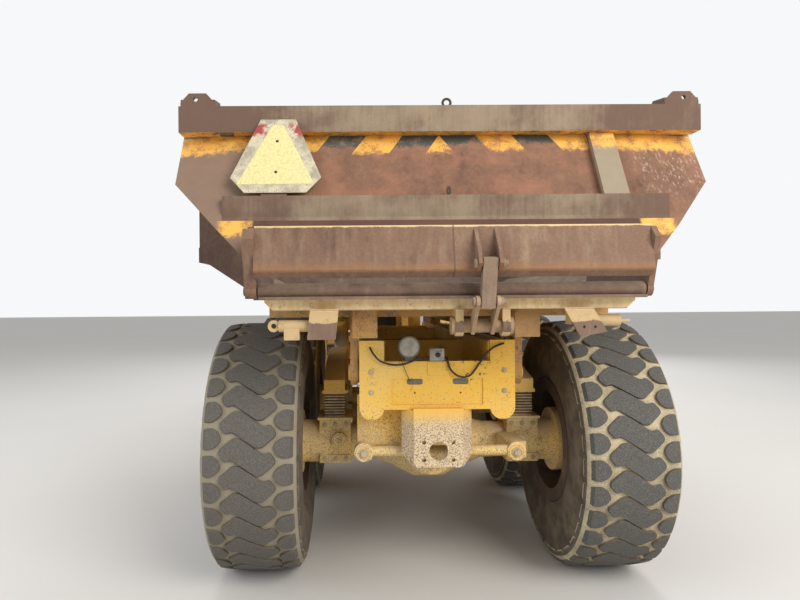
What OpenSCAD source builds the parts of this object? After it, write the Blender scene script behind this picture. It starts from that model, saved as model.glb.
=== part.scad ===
// Three-axle articulated dump truck: cab unit, hitch, bogie frame and tipping load body.
// Millimetres. +Y is forward, +X is the right-hand side, +Z is up, and the ground is z = 0.

/* [Stance] */
// Radius of a tyre over its worn lugs
tyre_r = 730; // [700:5:760]
// Width of a tyre over its sidewalls
tyre_w = 521; // [490:1:540]
// Distance between the middles of the left and right tyres
track = 1970; // [1940:5:2000]
// Distance between the two bogie axles
bogie_spacing = 1540; // [1520:5:1600]
// Distance from the first bogie axle to the front axle
wheelbase = 3950; // [3900:10:4100]
// Distance from the steering pivot forward to the front axle
pivot_back = 1200; // [1180:5:1230]
// How far the tail flap's gussets reach behind the last axle
tail_reach = 1200; // [1200:5:1260]
// How far the bumper reaches ahead of the front axle
nose_reach = 2200; // [2180:5:2300]

/* [Wheels] */
// Radius of the bead seat of a rim
seat_r = 317.5; // [305:0.5:330]
// Radius of a rim flange
flange_r = 375; // [365:1:385]
// Width of a rim between its flanges
rim_w = 432; // [400:1:450]
// Thickness of a rim flange ring
flange_t = 22; // [16:1:26]
// Wall of the rim barrel
rim_wall = 17; // [12:1:22]
// Radius of the hub's planetary case
hub_r = 150; // [130:1:170]
// How far the hub's cap stands out from the middle of the wheel
hub_out = 225; // [200:1:240]
// Radius of the spindle that a hub turns on
spindle_r = 90; // [70:1:100]
// Radius of the circle of wheel studs
stud_circle_r = 222; // [205:1:235]

/* [Axles] */
// Radius of the differential case
diff_r = 215; // [190:1:225]
// Radius of an axle tube
axle_tube_r = 100; // [85:1:105]
// Radius of a brake drum
brake_r = 190; // [170:1:220]
// Half width of the axle housing out to the brake drum
drum_in = 764; // [750:1:775]
// Outer end of a brake drum
drum_out = 900; // [885:1:912]
// Inner side of an axle seat
seat_in = 470; // [460:1:490]
// Outer side of an axle seat
seat_out = 658; // [645:1:670]
// Height of an axle seat above the middle of the axle
seat_up = 165; // [150:1:170]
// Depth of an axle seat below the middle of the axle
seat_down = 110; // [100:1:125]

/* [Rear frame] */
// Half width of the rear frame over its rails
frame_out = 410; // [395:1:412]
// Width of a rear frame rail
rail_w = 130; // [100:1:140]
// Height of the top of the rear frame
frame_top = 1370; // [1360:1:1374]
// Height of a rear frame rail
rail_h = 310; // [280:1:320]
// How far the rails reach behind the last axle
frame_back = 487; // [480:1:495]
// Thickness of the end plates
end_plate_t = 36; // [24:1:40]
// Height of the body hinge
hinge_z = 1200; // [1190:1:1210]
// Distance of the body hinge behind the last axle
hinge_back = 420; // [400:1:425]
// Radius of the body hinge pin
hinge_pin_r = 45; // [35:1:55]
// Height of the bogie trunnion
trunnion_z = 1080; // [1070:1:1090]
// Radius of the bogie trunnion
trunnion_r = 75; // [60:1:80]

/* [Tow bracket] */
// Radius of the tow hole
tow_hole_r = 50; // [40:1:55]
// Height of the tow hole
tow_z = 795; // [785:1:805]
// Bolt spacing across the tow bracket
tow_bolt_x = 156; // [146:1:166]
// Bolt spacing up the tow bracket
tow_bolt_z = 93; // [85:1:101]
// Radius of a bolt hole in the tow bracket
tow_bolt_r = 11; // [8:0.5:12]
// Thickness of the tow bracket's face
tow_t = 40; // [30:1:45]

/* [Bogie] */
// Inner side of a bogie beam
beam_in = 503; // [498:1:512]
// Outer side of a bogie beam
beam_out = 627; // [620:1:635]
// Height of the laminated rubber springs
spring_h = 144; // [135:1:150]
// Number of plates in a rubber spring
spring_plates = 9; // [5:1:11]
// Radius of a stay rod
stay_r = 28; // [20:1:32]

/* [Hitch] */
// Height of the roll axis of the hitch
roll_z = 900; // [890:1:910]
// Radius of the hitch tube
roll_r = 160; // [140:1:170]
// Outer radius of the bearing housing that the hitch tube turns in
housing_r = 235; // [220:1:240]
// Radius of the steering pivot pin
pivot_pin_r = 45; // [35:1:55]
// Half height of the steering pivot boss
pivot_half_h = 290; // [280:1:300]
// Sideways distance of the hitch's steering cylinder pins
steer_arm_x = 360; // [350:1:370]
// Sideways distance of the frame's steering cylinder pins
steer_base_x = 575; // [570:1:580]
// Distance of the hitch's steering cylinder pins behind the pivot
steer_arm_back = 300; // [290:1:310]
// Distance of the frame's steering cylinder pins ahead of the pivot
steer_base_fwd = 1020; // [1015:1:1025]
// Radius of a steering cylinder barrel
steer_barrel_r = 48; // [40:1:52]
// Radius of a steering cylinder rod
steer_rod_r = 28; // [20:1:32]

/* [Front frame] */
// Half width of the front frame over its rails
front_out = 320; // [310:1:325]
// Width of a front frame rail
front_rail_w = 110; // [90:1:120]
// Height of the underside of the front frame
front_bottom = 800; // [790:1:810]
// Height of the top of the front frame
front_top = 1080; // [1070:1:1085]
// Half width of the bumper
bumper_w = 1080; // [1000:5:1150]
// Thickness of the bumper from front to back
bumper_t = 150; // [120:1:180]

/* [Cab] */
// Height of the cab floor
cab_floor_z = 1600; // [1595:1:1620]
// Height of the cab roof
cab_top = 3200; // [3150:5:3250]
// Height of the cab's waist, where its sides start to lean in
cab_waist_z = 2250; // [2200:5:2300]
// Half width of the cab at the waist
cab_w = 800; // [780:1:815]
// Distance from the front axle back to the rear wall of the cab
cab_back = 600; // [580:5:620]
// Distance from the front axle to the front wall of the cab
cab_front = 880; // [860:5:890]
// Thickness of the cab walls
cab_wall = 40; // [30:1:50]
// Thickness of the window glass
glass_t = 6; // [4:1:10]
// Thickness of the door
door_t = 32; // [24:1:40]

/* [Hood and fenders] */
// Half width of the hood
hood_w = 640; // [600:5:660]
// Height of the hood at the cab
hood_top = 2060; // [2000:5:2100]
// Height of the hood at the grille
hood_front_top = 1780; // [1700:5:1850]
// Thickness of the hood panels
hood_wall = 24; // [18:1:30]
// Gap between a front tyre and its fender
fender_gap = 105; // [95:1:110]
// Thickness of a fender
fender_t = 16; // [12:1:24]

/* [Load body] */
// Half width of the load body over its rails
body_w = 1330; // [1320:1:1345]
// How far the rails and ribs stand out from the side walls
rib_out = 40; // [30:1:50]
// Height of the top of the load body
body_top = 2572; // [2550:1:2600]
// Height of the underside of the floor
floor_z = 1600; // [1595:1:1605]
// Half width of the floor
floor_w = 960; // [930:1:980]
// Height where the side walls turn in to the floor
chine_z = 1820; // [1800:1:1840]
// Thickness of the load body's plates
body_wall = 14; // [10:1:20]
// Distance of the floor's front edge ahead of the last axle
floor_front = 2950; // [2900:5:3000]
// How much further forward the top of the front wall is
front_lean = 450; // [400:5:480]
// Height of the spill guard above the front wall
guard_h = 330; // [250:5:350]
// Distance of the rear step of the side walls behind the last axle
step_back = 280; // [270:1:300]
// Half width of the tail's floor
tail_w = 900; // [895:1:905]

/* [Tailgate] */
// Height of the top rail's underside
top_rail_z = 2441; // [2430:1:2450]
// Distance of the gate's panel behind the last axle, at the top rail
gate_back = 650; // [645:1:655]
// How much the panel leans back for each millimetre down
gate_lean = 0.545; // [0.53:0.005:0.56]
// Thickness of the gate's panel
gate_t = 14; // [10:1:18]
// How far the gate's knee stops short of the load body's rails at each side
gate_side_gap = 5; // [0:1:10]
// Height of the gate's knee
knee_z = 2178; // [2160:1:2190]
// Height of the foot of the gate
gate_foot_z = 1783; // [1775:1:1790]
// Height of the gate's edge above the flap
gate_mid_z = 1942; // [1940:1:1950]
// How far the rails stand out behind the panel
rail_proud = 55; // [45:1:60]
// Half width of the mid rail
mid_rail_w = 1060; // [1040:1:1070]
// Height of the underside of the mid rail
mid_rail_z = 1975; // [1970:1:1985]
// Height of the mid rail
mid_rail_h = 118; // [100:1:125]
// Radius of the pins that the gate swings on
gate_pin_r = 16; // [12:1:18]

/* [Tail flap] */
// Half width of the flap at its top
flap_w = 877; // [870:1:880]
// Height of the flap's top edge
flap_top = 1926; // [1915:1:1930]
// Radius of the tube that the flap swings on
flap_tube_r = 34; // [30:1:36]
// Distance of the flap's tube behind the last axle
flap_axis_back = 1025; // [1020:1:1030]
// Height of the flap's tube
flap_axis_z = 1640; // [1638:1:1644]
// Sideways place of the flap's link
link_x = 144; // [138:1:150]
// How far the link's pins lie behind the tube and the shaft
link_back = 140; // [135:1:140]
// How far the link's pins lie above the tube and the shaft
link_up = 110; // [105:1:115]
// Distance of the flap shaft behind the last axle
shaft_back = 980; // [975:1:985]
// Height of the flap shaft
shaft_z = 1476; // [1470:1:1482]
// Radius of the flap shaft
shaft_r = 32; // [28:1:34]

/* [Hoist] */
// Sideways place of the hoist cylinders
hoist_x = 572; // [568:1:576]
// Distance of the hoist's frame pins ahead of the last axle
hoist_base_fwd = 2750; // [2740:1:2760]
// Height of the hoist's frame pins
hoist_base_z = 1000; // [990:1:1010]
// Distance of the hoist's body pins ahead of the last axle
hoist_head_fwd = 850; // [840:1:860]
// Height of the hoist's body pins
hoist_head_z = 1520; // [1515:1:1525]
// Radius of a hoist barrel
hoist_barrel_r = 70; // [60:1:72]
// Radius of a hoist rod
hoist_rod_r = 42; // [35:1:46]
// Radius of the hoist pins
hoist_pin_r = 30; // [24:1:34]

/* [Hidden] */
$fn = 48;
// Running clearance between a pin and its bore, and between faces that slide
fit = 0.3;
total_len = tail_reach + bogie_spacing + wheelbase + nose_reach;
last_y = tail_reach - total_len / 2;
mid_y = last_y + bogie_spacing;
front_y = mid_y + wheelbase;
pivot_y = front_y - pivot_back;
axle_z = tyre_r;
yellow = "#d8a23c";
rust = "#7b6558";
dark = "#3a3836";
steel = "#8d8a84";

// A box between two corners
module block(x0, x1, y0, y1, z0, z1) {
    translate([x0, y0, z0]) cube([x1 - x0, y1 - y0, z1 - z0]);
}

// A piece and its mirror image on the other side
module both() {
    children();
    mirror([1, 0, 0]) children();
}

// A cylinder along X, Y or Z
module xrod(r, x0, x1, y, z) {
    translate([x0, y, z]) rotate([0, 90, 0]) cylinder(r = r, h = x1 - x0);
}
module yrod(r, y0, y1, x, z) {
    translate([x, y1, z]) rotate([90, 0, 0]) cylinder(r = r, h = y1 - y0);
}
module zrod(r, z0, z1, x, y) {
    translate([x, y, z0]) cylinder(r = r, h = z1 - z0);
}

// A plate that is drawn in side view, as [y, z], and runs from x0 to x1
module side_plate(points, x0, x1) {
    translate([x0, 0, 0]) rotate([90, 0, 90]) linear_extrude(x1 - x0) polygon(points);
}

// A plate that is drawn in rear view, as [x, z], and runs from y0 to y1
module rear_plate(points, y0, y1) {
    translate([0, y1, 0]) rotate([90, 0, 0]) linear_extrude(y1 - y0) polygon(points);
}

// A plate that is drawn from above, as [x, y], and runs from z0 to z1
module plan_plate(points, z0, z1) {
    translate([0, 0, z0]) linear_extrude(z1 - z0) polygon(points);
}

// A rod between two points in a plane of constant x
module side_rod(r, x, a, b) {
    run = b - a;
    translate([x, a[0], a[1]]) rotate([-atan2(run[0], run[1]), 0, 0]) cylinder(r = r, h = norm(run));
}

// Points of an arc, each [cos, sin] times r about c
function arc(c, r, from, to, n) =
    [for (i = [0:n]) let (a = from + (to - from) * i / n) [c[0] + r * cos(a), c[1] + r * sin(a)]];

// Rear frame: two box rails on the bogie trunnion, closed by end plates behind and the hitch
// bearing in front
rail_bottom = frame_top - rail_h;
frame_end_y = last_y - frame_back;
hinge_y = last_y - hinge_back;
bogie_y = last_y + bogie_spacing / 2;
housing_y0 = mid_y + 1560;
housing_y1 = housing_y0 + 320;
hoist_base_y = last_y + hoist_base_fwd;
pad_h = 44;
module rear_frame() color(yellow) {
    neck = housing_y0 + 200;
    difference() {
        union() {
            both() side_plate([
                [frame_end_y, rail_bottom], [frame_end_y, frame_top], [neck - 600, frame_top],
                [neck, roll_z + housing_r], [neck, roll_z - housing_r + 20],
                [neck - 250, roll_z - housing_r + 20], [neck - 700, rail_bottom]
            ], frame_out - rail_w, frame_out);
            block(-frame_out, frame_out, neck - 120, neck, roll_z - housing_r + 20, roll_z + housing_r);
            yrod(housing_r, housing_y0, housing_y1, 0, roll_z);
        }
        yrod(roll_r + fit, housing_y0 - 1, housing_y1 + 1, 0, roll_z);
    }
    both() end_plate();
    rear_cross_member();
    xrod(hinge_pin_r - fit, -frame_out - 66, frame_out + 66, hinge_y, hinge_z);
    xrod(trunnion_r, -beam_out - 18, beam_out + 18, bogie_y, trunnion_z);
    for (y = [last_y + 330, mid_y + 260, mid_y + 900])
        block(rail_w - frame_out, frame_out - rail_w, y - 60, y + 60, rail_bottom + 40, frame_top - 40);
    both() {
        for (y = [last_y + 520, last_y + 2260])
            block(frame_out - rail_w + 20, frame_out - 15, y - 90, y + 90, frame_top, frame_top + pad_h);
        stay_hanger();
        hoist_bracket();
        xrod(trunnion_r + 30, beam_out + 16, beam_out + 34, bogie_y, trunnion_z);
    }
    panhard_carrier();
}

// Rounded end plate of a rail, which also holds the body hinge pin
module end_plate() {
    x0 = frame_out - rail_w + 5;
    mid = (x0 + frame_out + 7) / 2;
    half = (frame_out + 7 - x0) / 2;
    difference() {
        union() {
            block(x0, frame_out + 7, frame_end_y - end_plate_t, frame_end_y, rail_bottom - 40, frame_top + 9);
            yrod(half, frame_end_y - end_plate_t, frame_end_y, mid, rail_bottom - 40);
        }
        block(x0 - 1, frame_out + 8, frame_end_y - end_plate_t - 1, frame_end_y + 1,
            rail_bottom - 300, rail_bottom - 104);
    }
}

// Cross member between the end plates, with a recessed panel, two slots and two small holes
cross_top = 1267;
cross_bottom = 1009;
module rear_cross_member() {
    half = frame_out - rail_w + 5;
    y0 = frame_end_y - end_plate_t;
    difference() {
        block(-half, half, y0, y0 + 30, cross_bottom, cross_top);
        block(-247, 245, y0 - 1, y0 + 8, cross_bottom + 9, cross_top - 93);
        for (x = [-120, 126]) {
            block(x - 27, x + 27, y0 - 1, y0 + 31, 1142, 1174);
            for (side = [-27, 27]) yrod(16, y0 - 1, y0 + 31, x + side, 1158);
            yrod(5, y0 - 1, y0 + 31, x, 1097);
        }
    }
    block(-half, half, y0, frame_end_y + 320, cross_bottom, cross_bottom + 26);
    both() block(half - 30, half, y0, frame_end_y, cross_bottom, cross_top);
}

// Hanger under the trunnion, which the longitudinal stays are pinned to
hanger_z = 700;
module stay_hanger() {
    side_plate([
        [bogie_y - 150, rail_bottom + 5], [bogie_y + 150, rail_bottom + 5],
        [bogie_y + 80, hanger_z - 50], [bogie_y - 80, hanger_z - 50]
    ], frame_out - 40, frame_out);
}

// Bracket and pin that the foot of a hoist cylinder turns on
module hoist_bracket() {
    difference() {
        union() {
            block(frame_out - 10, hoist_x - 76, hoist_base_y - 70, hoist_base_y + 70, hoist_base_z - 70, hoist_base_z + 130);
            xrod(70, frame_out - 10, hoist_x - 76, hoist_base_y, hoist_base_z);
        }
    }
    block(frame_out - 60, frame_out, hoist_base_y - 70, hoist_base_y + 70, hoist_base_z - 70, rail_bottom + 60);
    xrod(hoist_pin_r, frame_out, hoist_x + 62, hoist_base_y, hoist_base_z);
    xrod(hoist_pin_r + 18, hoist_x + 44 + fit, hoist_x + 62, hoist_base_y, hoist_base_z);
}

// Plate under the left rail that carries the Panhard rod of each bogie axle
panhard_fwd = 395;
// Each bogie axle: [middle, side that its Panhard rod is on, height of the rod]
bogie_ends = [[last_y, -1, 758], [mid_y, 1, 885]];
module panhard_carrier() for (end = bogie_ends) {
    y = end[0] + end[1] * (panhard_fwd - 34 - 12);
    difference() {
        rear_plate([
            [-frame_out - 20, rail_bottom + 5], [-frame_out + 250, rail_bottom + 5],
            [-frame_out + 250, end[2] + 50], [-frame_out + 210, end[2] + 30], [-frame_out + 80, end[2] + 26],
            [-frame_out + 60, end[2] - 60], [-frame_out - 20, end[2] - 60]
        ], y - 12, y + 12);
        yrod(18, y - 13, y + 13, -frame_out + 15, end[2]);
    }
}

// Tow bracket: a face with a tow hole and four bolt holes, slanted wings, and two cheeks that
// reach under the frame
module tow_bracket() color(yellow) {
    y0 = frame_end_y - end_plate_t - tow_t;
    y1 = y0 + tow_t;
    difference() {
        union() {
            rear_plate([
                [-132, cross_bottom + 11], [-132, 728], [-116, 709], [116, 709], [132, 728], [132, cross_bottom + 11]
            ], y0, y1);
            intersection() {
                both() plan_plate([
                    [118, y0 + 24], [130, y0 + 2], [190, y1 + 44], [172, y1 + 56]
                ], 700, cross_bottom);
                rear_plate([
                    [-192, cross_bottom], [-192, 764], [-128, 709], [128, 709], [192, 764], [192, cross_bottom]
                ], y0, y1 + 80);
            }
            both() side_plate([
                [y1 - 5, cross_bottom], [y1 - 5, 720], [y1 + 60, 720], [y1 + 80, 880], [y1 + 240, cross_bottom]
            ], 108, 132);
        }
        yrod(tow_hole_r, y0 - 1, y1 + 1, 0, tow_z);
        for (x = [-tow_bolt_x, tow_bolt_x] / 2, z = [-tow_bolt_z, tow_bolt_z] / 2)
            yrod(tow_bolt_r, y0 - 1, y1 + 1, x, tow_z + z);
    }
}

// One driving axle: differential case, tapered tubes, flanges, brake drums and spindles,
// as one revolved profile of [radius, x]
module axle_housing(y) {
    spindle_end = track / 2 + 120;
    translate([0, y, axle_z]) rotate([0, 90, 0]) rotate_extrude() polygon([
        [0, -spindle_end], [spindle_r - fit, -spindle_end], [spindle_r - fit, -drum_out],
        [brake_r, -drum_out], [brake_r, -drum_in], [128, -drum_in], [128, 5 - seat_out],
        [axle_tube_r, 5 - seat_out], [axle_tube_r + 10, -330], [150, -220], [diff_r, -90],
        [diff_r, 90], [150, 220], [axle_tube_r + 10, 330], [axle_tube_r, seat_out - 5],
        [128, seat_out - 5], [128, drum_in], [brake_r, drum_in], [brake_r, drum_out],
        [spindle_r - fit, drum_out], [spindle_r - fit, spindle_end], [0, spindle_end]
    ]);
}

// Bogie axles with the seats that the springs stand on and the brackets of the Panhard rods
module bogie_axles() color(yellow) for (end = bogie_ends) {
    y = end[0];
    axle_housing(y);
    both() {
        block(seat_in, seat_out, y - 120, y + 120, axle_z - seat_down, axle_z + seat_up - 15);
        block(seat_in - 12, seat_out + 8, y - 140, y + 140, axle_z + seat_up - 15, axle_z + seat_up);
        yrod(46, y - 150, y + 150, seat_in + 67, axle_z + 30);
        stay_ear(y, -end[1]);
    }
    yrod(95, y + 180, y + 330, 0, axle_z);
    yrod(150, y - 245, y - 180, 0, axle_z);
    panhard_bracket(y, end[1], end[2]);
}

// Ear on an axle seat, which a longitudinal stay is pinned to
stay_x = 440;
ear_fwd = 150;
ear_z = 660;
module stay_ear(y, dir) {
    c = y + dir * ear_fwd;
    block(stay_x + 29, seat_in + 40, min(y, c + dir * 40), max(y, c + dir * 40), ear_z - 40, ear_z + 60);
}

// Arm on the right-hand seat, which holds the far eye of a Panhard rod
module panhard_bracket(y, dir, z) {
    far = dir * (panhard_fwd - 34);
    near = dir * 118;
    block(seat_in - 60, seat_in + 50, min(y + near, y + far), max(y + near, y + far), z - 55, z + 40);
}

// Walking beams between the axles, which rock on the trunnion and press on the rubber springs
module bogie_beams() color(yellow) both() {
    top = axle_z + seat_up + spring_h;
    difference() {
        union() {
            side_plate([
                [last_y - 140, top], [last_y - 140, top + 80], [last_y + 220, top + 165],
                [bogie_y - 150, top + 195], [bogie_y + 150, top + 195], [mid_y - 220, top + 165],
                [mid_y + 140, top + 80], [mid_y + 140, top], [mid_y - 150, top],
                [bogie_y + 190, top - 95], [bogie_y - 190, top - 95], [last_y + 150, top]
            ], beam_in, beam_out);
            xrod(trunnion_r + 55, beam_in - 8, beam_out + 14, bogie_y, trunnion_z);
            for (y = [last_y, mid_y]) block(beam_in - 20, beam_out + 10, y - 140, y + 140, top, top + 20);
        }
        xrod(trunnion_r + fit, beam_in - 10, beam_out + 20, bogie_y, trunnion_z);
    }
}

// Laminated rubber springs: steel plates bonded between shorter rubber layers
module rubber_springs() color(dark) both() for (y = [last_y, mid_y]) {
    z0 = axle_z + seat_up + fit;
    h = spring_h - 2 * fit;
    block(beam_in + 14, beam_out - 14, y - 98, y + 98, z0, z0 + h);
    for (i = [0:spring_plates - 1])
        translate([0, 0, z0 + i * (h - 8) / (spring_plates - 1)])
            block(beam_in, beam_out, y - 112, y + 112, 0, 8);
}

// Panhard rods behind and ahead of the bogie, and longitudinal stays to the hanger
module axle_stays() color(yellow) {
    for (end = bogie_ends) {
        y = end[0] + end[1] * panhard_fwd;
        for (x = [-frame_out + 15, seat_in - 20]) yrod(52, y - 34, y + 34, x, end[2]);
        xrod(stay_r, -frame_out + 15, seat_in - 20, y, end[2]);
    }
    both() for (end = [[last_y, 1], [mid_y, -1]]) {
        foot = [end[0] + end[1] * ear_fwd, ear_z];
        head = [bogie_y - end[1] * 45, hanger_z];
        side_rod(stay_r, stay_x, foot, head);
        for (p = [foot, head]) xrod(40, stay_x - 30 + fit, stay_x + 29 - fit, p[0], p[1]);
    }
}

// Propeller shafts between the axles and forward to the hitch
module drive_shafts() color(steel) {
    shaft_r1 = 42;
    yoke = 80;
    for (leg = [
        [[last_y + 330, axle_z], [mid_y - 245, axle_z]],
        [[mid_y + 330, axle_z], [housing_y0 - 40, roll_z]]
    ]) {
        a = leg[0] + [fit, 0];
        b = leg[1] - [fit, 0];
        side_rod(shaft_r1, 0, a + [yoke / 2, 0], b - [yoke / 2, 0]);
        yrod(62, a[0], a[0] + yoke, 0, a[1]);
        yrod(62, b[0] - yoke, b[0], 0, b[1]);
    }
}

// Round rear lamp on a small plate above the cross member
lamp_x = -150;
lamp_z = 1344;
module rear_lamp() color("#e8e2cc") {
    y0 = frame_end_y - end_plate_t;
    yrod(58, y0 - 8, y0 + 22, lamp_x, lamp_z);
    yrod(46, y0 + 22, y0 + 60, lamp_x, lamp_z);
    block(lamp_x - 22, lamp_x + 22, y0 + 8, y0 + 16, cross_top, lamp_z);
}

// Hitch: a tube that rolls in the rear frame's bearing, a neck with the steering pivot boss,
// and two arms that the steering cylinders push on
arm_gap = 46;
module hitch() color(yellow) {
    boss_r = 95;
    neck_y = housing_y1 + 560;
    difference() {
        union() {
            yrod(roll_r, housing_y0 - 30, neck_y, 0, roll_z);
            yrod(roll_r + 50, housing_y0 - 32, housing_y0 - fit, 0, roll_z);
            yrod(roll_r + 65, housing_y1 + fit, housing_y1 + 36, 0, roll_z);
            side_plate([
                [pivot_y - 330, roll_z - 150], [pivot_y - 330, roll_z + 150],
                [pivot_y - 150, roll_z + pivot_half_h - 20], [pivot_y, roll_z + pivot_half_h - 20],
                [pivot_y, roll_z - pivot_half_h + 20], [pivot_y - 150, roll_z - pivot_half_h + 20]
            ], -80, 80);
            zrod(boss_r, roll_z - pivot_half_h, roll_z + pivot_half_h, 0, pivot_y);
        }
        yrod(roll_r - 50, housing_y0 - 40, pivot_y - 380, 0, roll_z);
        zrod(pivot_pin_r, roll_z - pivot_half_h - 1, roll_z + pivot_half_h + 1, 0, pivot_y);
    }
    both() steering_arm();
    yrod(45, housing_y0 - 40 + fit, pivot_y - 370, 0, roll_z);
    yrod(62, housing_y0 - 40 + fit, housing_y0 + 40, 0, roll_z);
}

// Fork of two plates on the hitch, above and below the eye of a steering cylinder
module steering_arm() {
    y = pivot_y - steer_arm_back;
    for (z = [roll_z - arm_gap - 22, roll_z + arm_gap]) {
        plan_plate([
            [60, y - 110], [60, y + 130], [steer_arm_x - 20, y + 58], [steer_arm_x - 20, y - 58]
        ], z, z + 22);
        zrod(60, z, z + 22, steer_arm_x, y);
    }
    for (side = [-1, 1])
        zrod(30, roll_z + side * (arm_gap + 30) - 8, roll_z + side * (arm_gap + 30) + 8, steer_arm_x, y);
    block(60, 200, y - 90, y + 90, roll_z - arm_gap - 5, roll_z + arm_gap + 5);
}

// Front frame: box rails from the pivot's crosshead to the bumper, with the cab's mounts
crosshead_fwd = 240;
rails_fwd = 350;
front_end_y = front_y + nose_reach;
module front_frame() color(yellow) {
    top = roll_z + pivot_half_h;
    bottom = roll_z - pivot_half_h;
    ear_t = 40;
    for (z = [top + 5, bottom - 5 - ear_t]) {
        zrod(100, z, z + ear_t, 0, pivot_y);
        block(-100, 100, pivot_y, pivot_y + crosshead_fwd + 20, z, z + ear_t);
    }
    zrod(pivot_pin_r - fit, bottom - 5 - ear_t - 15, top + 5 + ear_t + 15, 0, pivot_y);
    zrod(pivot_pin_r + 22, top + 5 + ear_t, top + 5 + ear_t + 15, 0, pivot_y);
    zrod(pivot_pin_r + 22, bottom - 5 - ear_t - 15, bottom - 5 - ear_t, 0, pivot_y);
    block(-190, 190, pivot_y + crosshead_fwd, pivot_y + rails_fwd, bottom - 5 - ear_t, top + 5 + ear_t);
    both() {
        side_plate([
            [pivot_y + rails_fwd - 10, bottom - 45], [pivot_y + rails_fwd - 10, top + 45],
            [pivot_y + rails_fwd + 320, front_top], [front_end_y - bumper_t, front_top],
            [front_end_y - bumper_t, front_bottom + 60], [front_y + 420, front_bottom],
            [front_y + 300, front_bottom], [front_y + 200, 905], [front_y - 200, 905],
            [front_y - 300, front_bottom], [pivot_y + rails_fwd + 260, front_bottom]
        ], front_out - front_rail_w, front_out);
        for (y = [front_y - cab_back + 130, front_y + cab_front - 120])
            block(front_out - 90, front_out, y - 60, y + 60, front_top, cab_floor_z - 20);
        steer_base();
        tank_arm();
        fender_arm();
        for (x = [226, 292]) {
            block(x, x + 12, hood_axis_y - 24, hood_axis_y + 18, front_top - 20, hood_axis_z);
            xrod(24, x, x + 12, hood_axis_y, hood_axis_z);
        }
        xrod(13 - fit, 226, 304, hood_axis_y, hood_axis_z);
    }
    for (y = [pivot_y + rails_fwd - 10, front_y - 300, front_y + 500])
        block(front_rail_w - front_out, front_out - front_rail_w, y, y + 110, front_bottom + 30, front_top - 30);
    bumper();
}

// Bracket and pin on the front frame that a steering barrel turns on
module steer_base() {
    y = pivot_y + steer_base_fwd;
    for (z = [roll_z - 84, roll_z + 62]) {
        plan_plate([[front_out - 30, y - 60], [front_out - 30, y + 60], [steer_base_x, y + 50], [steer_base_x, y - 50]], z, z + 22);
        zrod(50, z, z + 22, steer_base_x, y);
    }
    zrod(24, roll_z - 84, roll_z + 84, steer_base_x, y);
}

// Arm from the front frame that carries the tank or the ladder
module tank_arm() {
    y = front_y - 835;
    block(front_out - 20, 690, y, y + 50, roll_z + 120, front_top);
    block(650, 690, y - 300, y + 50, roll_z + 120, front_top);
    block(650, 840, y - 300, y - 240, roll_z + 120, front_top);
    block(650, 840, y - 75, y - 20, roll_z + 120, front_top);
}

// Arms that carry the fenders
fender_in = 700;
module fender_arm() for (dir = [-1, 1]) {
    y = front_y + dir * 560;
    block(front_out - 20, fender_in, y - 30, y + 30, front_top - 60, front_top);
    block(fender_in - 32, fender_in, y - 30, y + 30, front_top - 60, 1350);
}

// Bumper with tapered ends
lamp_r = 82;
module bumper() difference() {
    y0 = front_end_y - bumper_t;
    plan_plate([
        [-bumper_w, y0 - 220], [-bumper_w, y0 - 20], [-bumper_w + 160, front_end_y],
        [bumper_w - 160, front_end_y], [bumper_w, y0 - 20], [bumper_w, y0 - 220],
        [bumper_w - 40, y0 - 220], [bumper_w - 40, y0 - 30], [bumper_w - 200, y0],
        [-bumper_w + 200, y0], [-bumper_w + 40, y0 - 30], [-bumper_w + 40, y0 - 220]
    ], 600, 940);
    both() yrod(lamp_r + fit, front_end_y - 40, front_end_y + 1, 760, 780);
}

// Front axle with its spring seats, rubber springs and the brackets above them
module front_axle() color(yellow) {
    axle_housing(front_y);
    spring_x = 455;
    both() {
        block(spring_x - 65, spring_x + 65, front_y - 110, front_y + 110, axle_z - 120, axle_z + 120);
        zrod(52, axle_z + 120, 975, spring_x, front_y);
        for (z = [axle_z + 135:24:960]) zrod(60, z, z + 10, spring_x, front_y);
        block(front_out + fit, spring_x + 65, front_y - 100, front_y + 100, 975, 1060);
    }
    side_rod(60, 0, [front_y - 190, axle_z + 10], [pivot_y + rails_fwd + 60, axle_z + 20]);
    yrod(85, front_y - 300, front_y - 150, 0, axle_z + 10);
}

// Engine as one plain block on the front rails, under the hood
module engine() color(steel) {
    block(-300, 300, front_y + cab_front + 90, front_y + cab_front + 1000, front_top + fit, 1680);
    block(front_rail_w - front_out + 20, front_out - front_rail_w - 20, front_y + cab_front + 150,
        front_y + cab_front + 850, front_bottom + 20, front_top + 10);
}

// Fenders over the front wheels, with a flat step behind each
fender_out = 1245;
deck_y = front_y - 1180;
module fenders() color(yellow) {
    r = tyre_r + fender_gap;
    both() {
        difference() {
            $fn = 180;
            xrod(r + fender_t, fender_in, fender_out, front_y, axle_z);
            xrod(r, fender_in - 1, fender_out - fender_t, front_y, axle_z);
            xrod(r - 50, fender_in - 1, fender_out + 1, front_y, axle_z);
            block(fender_in - 1, fender_out + 1, front_y - r - 50, front_y + r + 50, -200, axle_z + 250);
        }
        block(840, fender_out, deck_y, front_y - 662, 1250, 1275);
        block(840, 860, deck_y, front_y - 840, roll_z + 120, 1250);
    }
    ladder();
}

// Ladder under the left-hand deck
module ladder() mirror([1, 0, 0]) {
    y = deck_y + 120;
    for (x = [840, fender_out - 20]) block(x, x + 20, y, y + 60, 420, 1250);
    for (z = [420, 690, 960]) block(860, fender_out - 20, y, y + 60, z, z + 22);
}

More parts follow.
